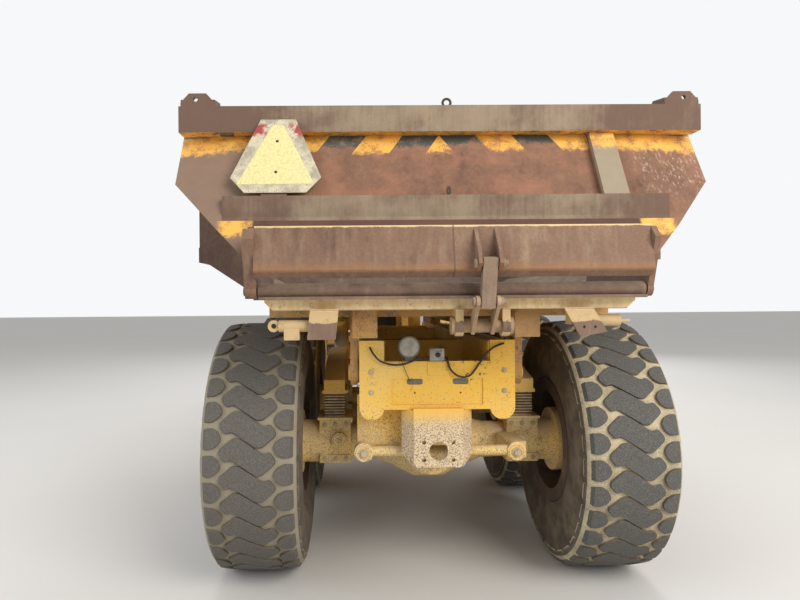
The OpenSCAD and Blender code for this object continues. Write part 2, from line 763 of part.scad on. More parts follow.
// Side view of the cab, inset by i, as [y, z]
function cab_side(i) = [
    [front_y - cab_back + i, cab_floor_z + i], [front_y - cab_back + i, 2050],
    [front_y - cab_back + 60 + i, cab_top - i], [front_y + cab_front - 230 - i, cab_top - i],
    [front_y + cab_front - i, 2090], [front_y + cab_front - i, cab_floor_z + i]
];
// Rear view of the cab, inset by i, as [x, z]
function cab_rear(i) = [
    [cab_w - 90 - i, cab_floor_z + i], [cab_w - i, cab_floor_z + 70], [cab_w - i, cab_waist_z],
    [cab_w - 70 - i, cab_top - 70 - i / 2], [cab_w - 150 - i, cab_top - i],
    [150 + i - cab_w, cab_top - i], [70 + i - cab_w, cab_top - 70 - i / 2],
    [i - cab_w, cab_waist_z], [i - cab_w, cab_floor_z + 70], [90 + i - cab_w, cab_floor_z + i]
];
// The cab's volume, inset by i
module cab_volume(i) intersection() {
    side_plate(cab_side(i), -cab_w - 10, cab_w + 10);
    rear_plate(cab_rear(i), front_y - cab_back - 10, front_y + cab_front + 10);
}

// Window and door openings of the cab, grown by g
door_back = -430;
door_front = 400;
door_bottom = 1690;
door_top = cab_top - 140;
window_top = cab_top - 240;
module side_opening(side, g) {
    x0 = side > 0 ? cab_w - 190 : -cab_w - 60;
    opening_z = side > 0 ? 2060 : door_bottom + 40;
    block(x0, x0 + 250, front_y + door_back + 45 - g, front_y + door_front - 45 + g, opening_z - g, 2990 + g);
}
module rear_window(g) block(-560 - g, 560 + g, front_y - cab_back - 40, front_y - cab_back + 120, 2120 - g, window_top + g);
module windscreen(g) block(-620 - g, 620 + g, front_y + cab_front - 260, front_y + cab_front + 40, 2160 - g, 3020 + g);

// Cab shell with its window and door openings
module cab_shell() color(yellow) {
    difference() {
        cab_volume(0);
        cab_volume(cab_wall);
        side_opening(-1, 0);
        side_opening(1, 0);
        rear_window(0);
        windscreen(0);
    }
    both() block(front_out + 20, 640, front_y - cab_back + 40, front_y + cab_front - 40, cab_floor_z - 20, cab_floor_z);
    both() block(330, 640, front_y + cab_front - 70, front_y + cab_front - 40, front_top + 20, cab_floor_z - 20);
    door_hinges(0);
}

// Hinge line of the door, with fixed knuckles on the cab
door_hinge_y = front_y + door_front + 8;
door_hinge_x = -cab_w - 2 - door_t - 14;
door_knuckles = [1860, 2180];
module door_hinges(shift) for (z = door_knuckles) difference() {
    union() {
        zrod(14, z, z + 40, door_hinge_x, door_hinge_y);
        block(door_hinge_x, -cab_w + 5, door_hinge_y, door_hinge_y + 14, z, z + 40);
    }
    zrod(7, z - 1, z + 41, door_hinge_x, door_hinge_y);
}

// Windows in the middle of the walls
module cab_glass() color([0.6, 0.7, 0.72, 0.4]) intersection() {
    difference() {
        cab_volume(cab_wall / 2 - glass_t / 2);
        cab_volume(cab_wall / 2 + glass_t / 2);
    }
    union() {
        side_opening(1, -fit);
        rear_window(-fit);
        windscreen(-fit);
    }
}

// Driver's seat, console and steering wheel
module cab_interior() color(dark) {
    z0 = cab_floor_z + cab_wall + fit;
    y = front_y - 20;
    block(-170, 170, y - 200, y + 180, z0, z0 + 250);
    block(-250, 250, y - 260, y + 240, z0 + 250, z0 + 380);
    side_plate([
        [y - 260, z0 + 380], [y - 350, z0 + 1050], [y - 260, z0 + 1060], [y - 150, z0 + 380]
    ], -230, 230);
    side_plate([
        [front_y + cab_front - 330, z0], [front_y + cab_front - 280, z0 + 480],
        [front_y + cab_front - 60, z0 + 520], [front_y + cab_front - 60, z0]
    ], -600, 600);
    side_rod(32, 0, [front_y + cab_front - 250, z0 + 430], [front_y + cab_front - 420, z0 + 700]);
    translate([0, front_y + cab_front - 420, z0 + 700]) rotate([32, 0, 0]) {
        rotate_extrude() translate([200, 0]) circle(15);
        for (a = [0, 120, 240]) rotate([0, 0, a]) block(-14, 14, 0, 200, -6, 6);
    }
}

// Fuel tank behind the right front wheel
module side_tank() color(yellow) {
    y0 = deck_y;
    y1 = front_y - 870;
    block(860, 1225, y0, y1, 600, 1180);
    block(860, 1225, y0 + 50, y1 - 50, 550, 1230);
    for (y = [y0 + 50, y1 - 50], z = [600, 1180]) xrod(50, 860, 1225, y, z);
    yrod(34, y0 - 22, y0 + 10, 1120, 1130);
}

// Exhaust stack behind the cab
module exhaust() color(dark) {
    x = 560;
    y = front_y - cab_back - 120;
    difference() {
        union() {
            zrod(75, 1500, 2500, x, y);
            zrod(45, 1150, 3050, x, y);
            zrod(58, 1140, 1160, x, y);
        }
        zrod(38, 2700, 3060, x, y);
    }
    block(front_out + fit, x, y - 30, y + 30, front_top + fit, 1160);
    block(x - 20, x + 20, y, front_y - cab_back - fit, 2000, 2030);
}

// Door mirrors on tube arms at the front corners of the cab
module mirrors() color(dark) both() {
    y = front_y + cab_front - 60;
    xrod(14, cab_w + fit, 1130, y, 2000);
    zrod(14, 1990, 2560, 1130, y);
    block(1050, 1220, y - 45, y - 14, 2200, 2540);
}

// Headlamps in the bumper's face
module headlamps() color("#eeeadd") both() {
    yrod(lamp_r, front_end_y - 40 + fit, front_end_y - 4, 760, 780);
}

// Hood: hollow, open below and behind, hinged at its front foot
hood_hinge_y = front_end_y - bumper_t + 20;
hood_axis_y = hood_hinge_y - 56;
hood_axis_z = front_top + 80;
hood_back = front_y + cab_front + 8;
function hood_side(i) = [
    [hood_back - 1, front_top + 30], [hood_back - 1, hood_top - i],
    [hood_hinge_y - 190 - i, hood_front_top - i], [hood_hinge_y - i, hood_front_top - 190 - i / 2],
    [hood_hinge_y + 10 - i, front_top + 45]
];
function hood_rear(i) = [
    [hood_w - i, front_top + 20], [hood_w - i, hood_top - 160], [hood_w - 140 - i / 2, hood_top + 10 - i],
    [140 + i / 2 - hood_w, hood_top + 10 - i], [i - hood_w, hood_top - 160], [i - hood_w, front_top + 20]
];
module hood() color(yellow) difference() {
    union() {
        hood_panels();
        both() {
            xrod(24, 241, 289, hood_axis_y, hood_axis_z);
            block(241, 289, hood_axis_y, hood_hinge_y - 5, hood_axis_z - 24, hood_axis_z + 24);
        }
    }
    xrod(13, -front_out - 30, front_out + 30, hood_axis_y, hood_axis_z);
}
module hood_panels() difference() {
    intersection() {
        side_plate(hood_side(0), -hood_w - 10, hood_w + 10);
        rear_plate(hood_rear(0), hood_back, hood_hinge_y + 20);
    }
    intersection() {
        translate([0, -40, 0]) side_plate(hood_side(hood_wall - 30), -hood_w - 10, hood_w + 10);
        side_plate(hood_side(hood_wall), -hood_w - 10, hood_w + 10);
        rear_plate(hood_rear(hood_wall), hood_back - 50, hood_hinge_y + 20);
    }
    block(-hood_w - 1, hood_w + 1, hood_back - 1, hood_hinge_y - 30, 0, front_top + 60);
    block(-430, 430, hood_hinge_y - 60, hood_hinge_y + 30, 1240, 1560);
    both() for (x = [218, 290])
        block(x, x + 22, hood_hinge_y - 30, hood_hinge_y + 30, 0, hood_axis_z + 30);
    both() for (i = [0:4]) block(hood_w - 40, hood_w + 1, hood_back + 260, hood_back + 620, 1360 + i * 70, 1395 + i * 70);
}

// Grille: a frame and slats in the hood's front opening
module grille() color(dark) {
    y0 = hood_hinge_y - 42;
    for (i = [0:7]) block(-430 + fit, 430 - fit, y0, y0 + 30, 1244 + i * 43, 1258 + i * 43);
    for (x = [-430 + fit, -8, 414 - fit]) block(x, x + 16, y0, y0 + 30, 1240 + fit, 1560 - fit);
}

// Door: a panel over the opening in the left wall, with a window, hinged at its front edge
module door_panel(x0, x1, y0, y1) {
    rear_plate([
        [-cab_w - x0, door_bottom], [-cab_w - x0, cab_waist_z], [-cab_w + 60 - x0, door_top],
        [-cab_w + 60 - x1, door_top], [-cab_w - x1, cab_waist_z], [-cab_w - x1, door_bottom]
    ], y0, y1);
}
module door() color(yellow) {
    difference() {
        door_panel(2, 2 + door_t, front_y + door_back, front_y + door_front);
        door_window(0);
    }
    for (z = door_knuckles) difference() {
        union() {
            zrod(14, z + 41, z + 90, door_hinge_x, door_hinge_y);
            block(door_hinge_x, -cab_w - 8, door_hinge_y - 40, door_hinge_y, z + 41, z + 90);
        }
        difference() {
            zrod(40, z + 40, z + 91, door_hinge_x + 40, door_hinge_y + 20);
            zrod(14, z + 39, z + 92, door_hinge_x, door_hinge_y);
            block(door_hinge_x - 60, -cab_w - 8, door_hinge_y - 60, door_hinge_y + 1, z + 39, z + 92);
        }
    }
    for (z = door_knuckles) zrod(7 - fit, z, z + 90, door_hinge_x, door_hinge_y);
}
module door_window(g) block(-cab_w - 60, -cab_w + 80, front_y + door_back + 70 - g, front_y + door_front - 90 + g, 2110 - g, window_top + g);
module door_glass() color([0.6, 0.7, 0.72, 0.4]) intersection() {
    door_panel(2 + (door_t - glass_t) / 2, 2 + (door_t + glass_t) / 2, front_y + door_back, front_y + door_front);
    door_window(-fit);
}

// Tyre: a revolved section of [radius, x], with bulged sidewalls and a slightly crowned tread
module tyre(side, y) color(dark) {
    bulge_r = 500;
    mid_r = 540;
    wall = [for (r = [flange_r + 4:31:tyre_r - 40]) [r, tyre_w / 2 - bulge_r + sqrt(pow(bulge_r, 2) - pow(r - mid_r, 2))]];
    half = concat(
        [[seat_r + fit, rim_w / 2 - fit], [flange_r + 2, rim_w / 2 - fit]],
        wall,
        [[tyre_r - 22, tyre_w / 2 - 28], [tyre_r - 8, tyre_w / 2 - 60], [tyre_r, tyre_w / 2 - 140]]
    );
    back = [for (i = [len(half) - 1:-1:0]) [half[i][0], -half[i][1]]];
    translate([side * track / 2, y, axle_z]) rotate([0, 90, 0]) rotate_extrude($fn = 72) polygon(concat(half, back));
}

// Rim: barrel with flange rings, dished disc, studs' ring and planetary hub, outward along +X
module rim(side, y) color(rust)
    translate([side * track / 2, y, axle_z]) scale([1, 1, 1]) mirror([side > 0 ? 0 : 1, 0, 0]) rotate([0, 90, 0]) {
        half = rim_w / 2;
        disc_x = 60;
        rotate_extrude() polygon([
            [seat_r, -half], [flange_r, -half], [flange_r, -half - flange_t], [seat_r - rim_wall, -half - flange_t],
            [seat_r - rim_wall, disc_x - 10], [stud_circle_r + 40, disc_x + 10], [hub_r + 60, disc_x],
            [hub_r, disc_x], [hub_r, -60], [spindle_r, -60], [spindle_r, 140], [0, 140], [0, hub_out],
            [60, hub_out], [60, hub_out - 12], [hub_r - 30, hub_out - 25], [hub_r - 30, hub_out - 90],
            [hub_r, hub_out - 100], [hub_r, disc_x + 45], [hub_r + 40, disc_x + 45], [hub_r + 60, disc_x + 22],
            [stud_circle_r + 40, disc_x + 32], [seat_r - rim_wall, disc_x + 12],
            [seat_r - rim_wall, half + flange_t], [flange_r, half + flange_t], [flange_r, half], [seat_r, half]
        ]);
    }

// Load body: hollow, with walls that turn in to the floor, a raked front wall with a spill
// guard, a narrower tail behind the last axle with notches for the arms of the flap, and the
// tube that the flap swings on
wall_x = body_w - rib_out;
gate_w = body_w - gate_side_gap;
step_y = last_y - step_back;
floor_front_y = last_y + floor_front;
function body_section(i) = [
    [wall_x - i, body_top + i], [wall_x - i, chine_z + i / 3], [floor_w - i / 2, floor_z + i],
    [i / 2 - floor_w, floor_z + i], [i - wall_x, chine_z + i / 3], [i - wall_x, body_top + i]
];
function tail_section(i) = [
    [wall_x - i, body_top + i], [wall_x - i, knee_z + i / 3], [tail_w + 32 - i, gate_foot_z + i / 3],
    [tail_w - i, floor_z + i], [i - tail_w, floor_z + i], [i - tail_w - 32, gate_foot_z + i / 3],
    [i - wall_x, knee_z + i / 3], [i - wall_x, body_top + i]
];
function body_side(i) = [
    [step_y + i, floor_z - 1], [step_y + i, body_top + 20], [floor_front_y + front_lean * 1.02 - i, body_top + 20],
    [floor_front_y - i, floor_z - 1]
];
function gate_y(z) = last_y - gate_back - gate_lean * (top_rail_z - z);
flap_y = last_y - flap_axis_back;
tail_gap = 12;
gate_corner = wall_x - 195;
gate_shear = 0.23;

// Slab along the gate's panel, from a behind to b ahead of its rear face, with corners that
// bend forward
module gate_slab(a, b, z0, z1) {
    flat = [
        [gate_y(z0) - a, z0], [gate_y(z1) - a, z1], [gate_y(z1) + b, z1], [gate_y(z0) + b, z0]
    ];
    side_plate(flat, -gate_corner, gate_corner);
    both() multmatrix([
        [1, 0, 0, 0], [gate_shear, 1, 0, -gate_shear * gate_corner], [0, 0, 1, 0]
    ]) side_plate(flat, gate_corner, body_w + 100);
}

module dump_body() color(rust) {
    difference() {
        union() {
            intersection() {
                rear_plate(body_section(0), step_y, floor_front_y + front_lean + 30);
                side_plate(body_side(0), -body_w, body_w);
                block(-body_w, body_w, step_y, floor_front_y + 2000, 0, body_top);
            }
            intersection() {
                rear_plate(tail_section(0), last_y - 1100, step_y + body_wall);
                block(-body_w, body_w, last_y - 1100, step_y + body_wall, 0, body_top);
            }
        }
        intersection() {
            rear_plate(body_section(body_wall), step_y, floor_front_y + front_lean + 30);
            side_plate(body_side(body_wall), -body_w, body_w);
        }
        rear_plate(tail_section(body_wall), last_y - 1200, step_y + body_wall + 1);
        gate_slab(700, gate_t + tail_gap, floor_z - 200, body_top + 200);
        both() block(tail_w - 38, tail_w + 60, last_y - 1200, flap_y + 45, floor_z - 10, flap_axis_z + 105);
    }
    spill_guard();
    both() {
        side_rails();
        gate_hinge_seat();
    }
    flap_tube();
}

// Spill guard that leans forward from the top of the front wall
module spill_guard() {
    y = floor_front_y + front_lean;
    lean = guard_h * front_lean / (body_top - floor_z);
    side_plate([
        [y - body_wall, body_top - 10], [y - body_wall + lean, body_top + guard_h],
        [y + lean, body_top + guard_h], [y, body_top - 10]
    ], -wall_x, wall_x);
    both() side_plate([
        [y - 420, body_top], [y - body_wall + lean, body_top + guard_h], [y, body_top]
    ], wall_x - body_wall, wall_x);
}

// Box rails along the top and the chine of a side wall, and the ribs between them
module side_rails() {
    front_top_y = floor_front_y + front_lean;
    top_h = 110;
    low_h = 85;
    block(wall_x - 4, body_w, gate_y(body_top) + 200, front_top_y, body_top - top_h, body_top);
    block(wall_x - 4, body_w, step_y, floor_front_y + 100, chine_z, chine_z + low_h);
    for (y = [step_y, last_y + 420, last_y + 1120, last_y + 1820, last_y + 2520])
        block(wall_x - 4, body_w - 4, y, y + 90, chine_z + 40, body_top - 40);
}

// Corner seat and hinge barrel that carry one end of the gate
gate_axis_y = last_y - 600;
gate_axis_z = 2600;
lug_in = wall_x - 160;
lug_out = wall_x + 10;
lug_t = 20;
module gate_hinge_seat() {
    x0 = lug_in + lug_t + 8;
    x1 = lug_out - lug_t - 8;
    difference() {
        union() {
            xrod(30, x0, x1, gate_axis_y, gate_axis_z);
            block(x0, wall_x, gate_axis_y - 10, gate_axis_y + 190, body_top - 26, body_top);
            block(x0, x1, gate_axis_y - 24, gate_axis_y + 24, body_top - 26, gate_axis_z);
        }
        xrod(gate_pin_r, x0 - 1, x1 + 1, gate_axis_y, gate_axis_z);
    }
}

// Tube behind the tail's floor, and the journals that the flap's arms turn on
module flap_tube() {
    half = 868;
    xrod(flap_tube_r, -half, half, flap_y, flap_axis_z);
    xrod(20, -flap_w - 58, -half, flap_y, flap_axis_z);
    xrod(20, half, flap_w + 32, flap_y, flap_axis_z);
    for (x = [-840, -420, 0, 420, 840])
        side_plate([
            [last_y - 985, floor_z + 2], [last_y - 985, floor_z + 12], [flap_y, flap_axis_z + 20], [flap_y, floor_z + 2]
        ], x - 8, x + 8);
}

// Rails under the load body, each with the lug that hangs on the hinge pin
under_in = 330;
under_out = 450;
under_z = 1415;
bearer_h = 90;
hoist_head_y = last_y + hoist_head_fwd;
shaft_y = last_y - shaft_back;
module body_rails() color(yellow) both() {
    side_plate([
        [last_y - 860, under_z], [last_y - 860, floor_z], [last_y - 620 - fit, floor_z],
        [last_y - 620 - fit, floor_z - bearer_h - fit], [floor_front_y - 60, floor_z - bearer_h - fit],
        [floor_front_y - 60, under_z]
    ], under_in, under_out);
    hinge_lug();
}

// Cross bearers between the rails and the floor, and the lugs of the hoist rods
module body_bearers() color(yellow) {
    block(20 - tail_w, tail_w - 20, last_y - 620, last_y - 540, floor_z - bearer_h, floor_z);
    for (y = [-60, 400, 1400, 2000, 2600])
        block(-floor_w + 40, floor_w - 40, last_y + y, last_y + y + 80, floor_z - bearer_h, floor_z);
    both() hoist_lugs();
}

// Lug that hangs outside the frame on the hinge pin
module hinge_lug() difference() {
    union() {
        block(frame_out + 15, frame_out + 55, hinge_y - 70, hinge_y + 70, hinge_z, floor_z - 5);
        xrod(70, frame_out + 15, frame_out + 55, hinge_y, hinge_z);
    }
    xrod(hinge_pin_r, frame_out + 10, frame_out + 60, hinge_y, hinge_z);
}

// Two plates on either side of the eye of a hoist rod, with the pin's heads outside
module hoist_lugs() for (side = [-1, 1]) {
    x = hoist_x + side * 68;
    side_plate([
        [hoist_head_y - 130, floor_z], [hoist_head_y + 130, floor_z], [hoist_head_y + 60, hoist_head_z - 50],
        [hoist_head_y - 60, hoist_head_z - 50]
    ], x - 11, x + 11);
    xrod(hoist_pin_r, min(x, x + side * 24), max(x, x + side * 24), hoist_head_y, hoist_head_z);
}

// Beam across the underside of the tail, with a hanging plate, a stub tube and an eye or a
// tongue at each side, and the bearings of the flap shaft
lip_z = 1550;
module lip_beam() color(yellow) {
    shaft_bearings();
    rear_plate([
        [-850, floor_z], [-850, floor_z - 12], [-808, lip_z], [808, lip_z], [850, floor_z - 12], [850, floor_z]
    ], last_y - 988, last_y - 900);
    rear_plate([[-638, lip_z + 6], [-652, 1420], [-524, 1420], [-510, lip_z + 6]], shaft_y - 55, shaft_y - 40);
    block(-630, -530, shaft_y - 42, shaft_y + 42, 1462, lip_z + 5);
    xrod(27, -785, -625, shaft_y, 1481);
    difference() {
        yrod(27, shaft_y - 9, shaft_y + 9, -808, 1481);
        yrod(12, shaft_y - 10, shaft_y + 10, -808, 1481);
    }
    block(-760, -690, shaft_y - 25, shaft_y + 25, 1417, 1470);
    difference() {
        rear_plate([[507, lip_z + 6], [580, 1424], [702, 1446], [638, lip_z + 6]], shaft_y - 55, shaft_y - 40);
        for (x = [596, 646]) yrod(7, shaft_y - 56, shaft_y - 39, x, 1469);
    }
    block(545, 640, shaft_y - 42, shaft_y + 42, 1478, lip_z + 5);
    xrod(27, 630, 778, shaft_y, 1497);
    block(770, 820, shaft_y - 20, shaft_y + 20, 1492, 1502);
}

// Two bearings that hang from the lip beam and hold the flap shaft
module shaft_bearings() for (x = [38, 250]) difference() {
    union() {
        block(x - 18, x + 18, shaft_y - 38, shaft_y + 38, shaft_z, lip_z + 5);
        xrod(48, x - 18, x + 18, shaft_y, shaft_z);
    }
    xrod(shaft_r + fit, x - 20, x + 20, shaft_y, shaft_z);
}

// Tailgate: a leaning panel with bent corners, a top rail with two lifting lugs, a mid rail and
// two posts, hung on pins at its top corners
module tailgate() color(rust) {
    intersection() {
        gate_slab(0, gate_t, gate_foot_z - 60, body_top - 20);
        rear_plate([
            [-gate_w + 5, top_rail_z + 20], [-gate_w, knee_z], [-tail_w - 44, gate_foot_z + 12],
            [-tail_w - 36, gate_foot_z + 12], [-tail_w - 36, gate_mid_z], [tail_w + 36, gate_mid_z],
            [tail_w + 36, gate_foot_z + 12], [tail_w + 44, gate_foot_z + 12], [gate_w, knee_z],
            [gate_w - 5, top_rail_z + 20]
        ], last_y - 1200, last_y - 400);
    }
    rail_y = gate_y(top_rail_z) - rail_proud - 20;
    difference() {
        block(-gate_w + 14, gate_w - 14, rail_y, rail_y + 90, top_rail_z, body_top);
        block(-gate_w + 34, gate_w - 34, rail_y + 12, rail_y + 78, top_rail_z + 12, body_top - 12);
    }
    mid_rail();
    both() {
        gate_post();
        gate_lug(rail_y);
    }
}

// Mid rail: a box beam welded along the panel above the flap
module mid_rail() {
    face = gate_y(mid_rail_z + mid_rail_h) - rail_proud;
    side_plate([
        [gate_y(mid_rail_z) + 2, mid_rail_z], [face, mid_rail_z], [face, mid_rail_z + mid_rail_h],
        [gate_y(mid_rail_z + mid_rail_h) + 2, mid_rail_z + mid_rail_h]
    ], -mid_rail_w, mid_rail_w);
}

// Post between the two rails
post_x = 818;
post_w = 122;
module gate_post() {
    z0 = mid_rail_z + mid_rail_h - 5;
    z1 = top_rail_z + 5;
    side_plate([
        [gate_y(z0) + 2, z0], [gate_y(z0) - rail_proud + 12, z0], [gate_y(z1) - rail_proud + 12, z1], [gate_y(z1) + 2, z1]
    ], post_x - post_w / 2, post_x + post_w / 2);
}

// Lifting lug with a chamfered top, on two cheeks that hold the hinge pin
module gate_lug(rail_y) {
    top = 2636;
    difference() {
        rear_plate([
            [lug_in, body_top - 2], [lug_in, body_top + 18], [lug_in + 42, top], [lug_out - 42, top],
            [lug_out, body_top + 18], [lug_out, body_top - 2]
        ], rail_y, rail_y + lug_t);
        yrod(11, rail_y - 1, rail_y + lug_t + 1, lug_out - 75, body_top + 34);
    }
    for (x = [lug_in, lug_out - lug_t]) {
        side_plate([
            [rail_y + 5, body_top - 2], [rail_y + 5, top - 30], [gate_axis_y, gate_axis_z + 26],
            [gate_axis_y + 22, gate_axis_z], [gate_axis_y, gate_axis_z - 24], [rail_y + 88, body_top - 2]
        ], x, x + lug_t);
    }
    xrod(gate_pin_r - fit, lug_in, lug_out, gate_axis_y, gate_axis_z);
}

// Tail flap: a bent plate on two side arms that swing on the tube's journals, with two
// gussets for the link
flap_foot_z = 1721;
fork_half = 45;
module flap() color(rust) {
    t = 12;
    top_y = flap_y - 59;
    foot_y = flap_y - 102;
    side_plate([
        [top_y, flap_top], [foot_y, flap_foot_z + 8], [foot_y + 4, flap_foot_z], [foot_y + 38, flap_foot_z - 26],
        [foot_y + 45, flap_foot_z - 16], [foot_y + 16, flap_foot_z + 6], [top_y + t, flap_top]
    ], -flap_w, flap_w);
    for (arm = [[-flap_w - 50, -flap_w + 2], [flap_w - 2, flap_w + 24]]) difference() {
        union() {
            side_plate([
                [top_y - 2, flap_top - 10], [top_y - 45, flap_top - 60], [flap_y - 30, flap_axis_z],
                [flap_y + 30, flap_axis_z], [top_y + 30, flap_top - 10]
            ], arm[0], arm[1]);
            xrod(34, arm[0], arm[1], flap_y, flap_axis_z);
        }
        xrod(20 + fit, arm[0] - 5, arm[1] + 5, flap_y, flap_axis_z);
    }
    pin = [flap_y - link_back, flap_axis_z + link_up];
    for (side = [-1, 1]) {
        x = link_x + side * fork_half;
        difference() {
            side_plate([
                [top_y + 4, flap_top - 5], [pin[0] - 8, pin[1] + 60], [pin[0] - 35, pin[1]],
                [pin[0] + 8, pin[1] - 32], [foot_y + 6, pin[1] - 30]
            ], x - 8, x + 8);
            xrod(14 + fit, x - 20, x + 20, pin[0], pin[1]);
        }
    }
}

// Flap shaft: a short shaft that turns in the two bearings, with the link's fork
module flap_shaft() color(yellow) {
    xrod(shaft_r, 12, 276, shaft_y, shaft_z);
    xrod(shaft_r + 8, 2, 19.5, shaft_y, shaft_z);
    xrod(shaft_r + 8, 268.5, 286, shaft_y, shaft_z);
    pin = [shaft_y - link_back, shaft_z + link_up];
    for (side = [-1, 1]) {
        x = link_x + side * fork_half;
        difference() {
            union() {
                side_plate([
                    [shaft_y - 10, shaft_z + 30], [shaft_y + 20, shaft_z - 26], [shaft_y - 25, shaft_z - 40],
                    [pin[0] - 24, pin[1] - 10], [pin[0] + 10, pin[1] + 22]
                ], x - 8, x + 8);
                xrod(26, x - 8, x + 8, pin[0], pin[1]);
            }
            xrod(14 + fit, x - 20, x + 20, pin[0], pin[1]);
        }
    }
}

// Link between the shaft's fork and the flap's gussets, with its two pins
module flap_link() color(rust) {
    foot = [shaft_y - link_back, shaft_z + link_up];
    head = [flap_y - link_back, flap_axis_z + link_up];
    along = (head - foot) / norm(head - foot);
    across = [along[1], -along[0]];
    side_plate([
        foot - along * 26 + across * 18, foot - along * 26 - across * 18,
        head + along * 26 - across * 18, head + along * 26 + across * 18
    ], link_x - 31, link_x + 31);
    for (p = [foot, head]) {
        xrod(14, link_x - 66, link_x + 78, p[0], p[1]);
        xrod(21, link_x - 66, link_x - 54, p[0], p[1]);
        xrod(21, link_x + 54, link_x + 66, p[0], p[1]);
    }
}

// Hoist cylinders: barrels on the frame's pins and rods that reach the body's lugs
hoist_base = [hoist_base_y, hoist_base_z];
hoist_head = [hoist_head_y, hoist_head_z];
hoist_len = norm(hoist_head - hoist_base);
hoist_dir = (hoist_head - hoist_base) / hoist_len;
hoist_tube = hoist_len - 190;
module hoist_barrels() color(yellow) both() difference() {
    union() {
        side_rod(hoist_barrel_r, hoist_x, hoist_base + hoist_dir * 60, hoist_base + hoist_dir * hoist_tube);
        side_rod(hoist_barrel_r + 5, hoist_x, hoist_base + hoist_dir * (hoist_tube - 70), hoist_base + hoist_dir * hoist_tube);
        xrod(64, hoist_x - 44, hoist_x + 44, hoist_base[0], hoist_base[1]);
    }
    side_rod(hoist_rod_r + fit, hoist_x, hoist_base + hoist_dir * 150, hoist_base + hoist_dir * (hoist_tube + 5));
    xrod(hoist_pin_r + fit, hoist_x - 50, hoist_x + 50, hoist_base[0], hoist_base[1]);
}
module hoist_rods() color(steel) both() difference() {
    union() {
        side_rod(hoist_rod_r, hoist_x, hoist_base + hoist_dir * 170, hoist_head - hoist_dir * 40);
        xrod(56, hoist_x - 44, hoist_x + 44, hoist_head[0], hoist_head[1]);
    }
    xrod(hoist_pin_r + fit, hoist_x - 50, hoist_x + 50, hoist_head[0], hoist_head[1]);
}

// Steering cylinders: barrels on the front frame and rods that slant in to the hitch's arms.
// Distances run along a cylinder from its pin on the front frame.
steer_run = [steer_base_x - steer_arm_x, steer_base_fwd + steer_arm_back];
steer_len = norm(steer_run);
steer_slant = atan2(steer_run[0], steer_run[1]);
steer_mouth = 890;
steer_bore_end = 130;
steer_rod_end = 460;
module along_steer(side) {
    translate([side * steer_base_x, pivot_y + steer_base_fwd, roll_z]) rotate([0, 0, -side * steer_slant]) children();
}
module steer_barrel(side) color(steel) along_steer(side) difference() {
    union() {
        yrod(steer_barrel_r, -steer_mouth, -40, 0, 0);
        zrod(48, -58, 58, 0, 0);
    }
    yrod(steer_rod_r + fit, -steer_mouth - 5, -steer_bore_end, 0, 0);
    zrod(24 + fit, -60, 60, 0, 0);
}
module steer_rod(side) color(steel) along_steer(side) difference() {
    union() {
        yrod(steer_rod_r, 20 - steer_len, -steer_rod_end, 0, 0);
        zrod(46, -38, 38, 0, -steer_len);
    }
    zrod(22, -40, 40, 0, -steer_len);
}

rear_frame();
tow_bracket();
bogie_axles();
bogie_beams();
rubber_springs();
axle_stays();
drive_shafts();
rear_lamp();
hitch();
front_frame();
front_axle();
engine();
fenders();
cab_shell();
cab_glass();
cab_interior();
side_tank();
exhaust();
mirrors();
headlamps();
hood();
grille();
door();
door_glass();
tyre(-1, front_y);  // tyre_front_left
tyre(1, front_y);  // tyre_front_right
tyre(-1, mid_y);  // tyre_mid_left
tyre(1, mid_y);  // tyre_mid_right
tyre(-1, last_y);  // tyre_rear_left
tyre(1, last_y);  // tyre_rear_right
rim(-1, front_y);  // rim_front_left
rim(1, front_y);  // rim_front_right
rim(-1, mid_y);  // rim_mid_left
rim(1, mid_y);  // rim_mid_right
rim(-1, last_y);  // rim_rear_left
rim(1, last_y);  // rim_rear_right
dump_body();
body_rails();
body_bearers();
lip_beam();
tailgate();
flap();
flap_shaft();
flap_link();
hoist_barrels();
hoist_rods();
steer_barrel(-1);  // steer_barrel_left
steer_barrel(1);  // steer_barrel_right
steer_rod(-1);  // steer_rod_left
steer_rod(1);  // steer_rod_right
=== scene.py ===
"""An articulated dump truck seen from behind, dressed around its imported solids.

The sections follow the truck as it is put together, from the bogie up to the load body and the cab.
"""

import math

import bmesh
import bpy
from mathutils import Matrix, Vector


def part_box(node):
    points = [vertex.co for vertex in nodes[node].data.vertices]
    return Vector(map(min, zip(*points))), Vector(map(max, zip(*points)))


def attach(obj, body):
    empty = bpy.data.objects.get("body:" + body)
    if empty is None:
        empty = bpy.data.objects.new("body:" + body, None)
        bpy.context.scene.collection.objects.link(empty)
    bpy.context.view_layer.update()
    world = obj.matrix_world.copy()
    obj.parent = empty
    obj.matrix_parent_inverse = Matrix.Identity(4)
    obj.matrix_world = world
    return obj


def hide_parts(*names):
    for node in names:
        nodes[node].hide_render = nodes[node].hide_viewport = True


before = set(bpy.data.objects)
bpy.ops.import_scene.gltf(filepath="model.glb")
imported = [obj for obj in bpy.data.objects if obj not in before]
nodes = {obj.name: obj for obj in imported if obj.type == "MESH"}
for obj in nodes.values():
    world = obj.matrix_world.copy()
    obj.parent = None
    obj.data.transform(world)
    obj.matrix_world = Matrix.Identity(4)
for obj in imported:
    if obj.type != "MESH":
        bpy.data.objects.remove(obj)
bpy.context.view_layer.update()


# ---------------- camera
# The photograph was taken by hand at eye height, a few steps behind the tailgate and to the left
# of the truck's middle, with the phone level.
LAST_AXLE_Y = -3.245
CAMERA_TURN, CAMERA_DIP, CAMERA_TILT = 0.00925, -0.0009, -0.0080


def new_object(name, data):
    made = bpy.data.objects.new(name, data)
    bpy.context.scene.collection.objects.link(made)
    return made


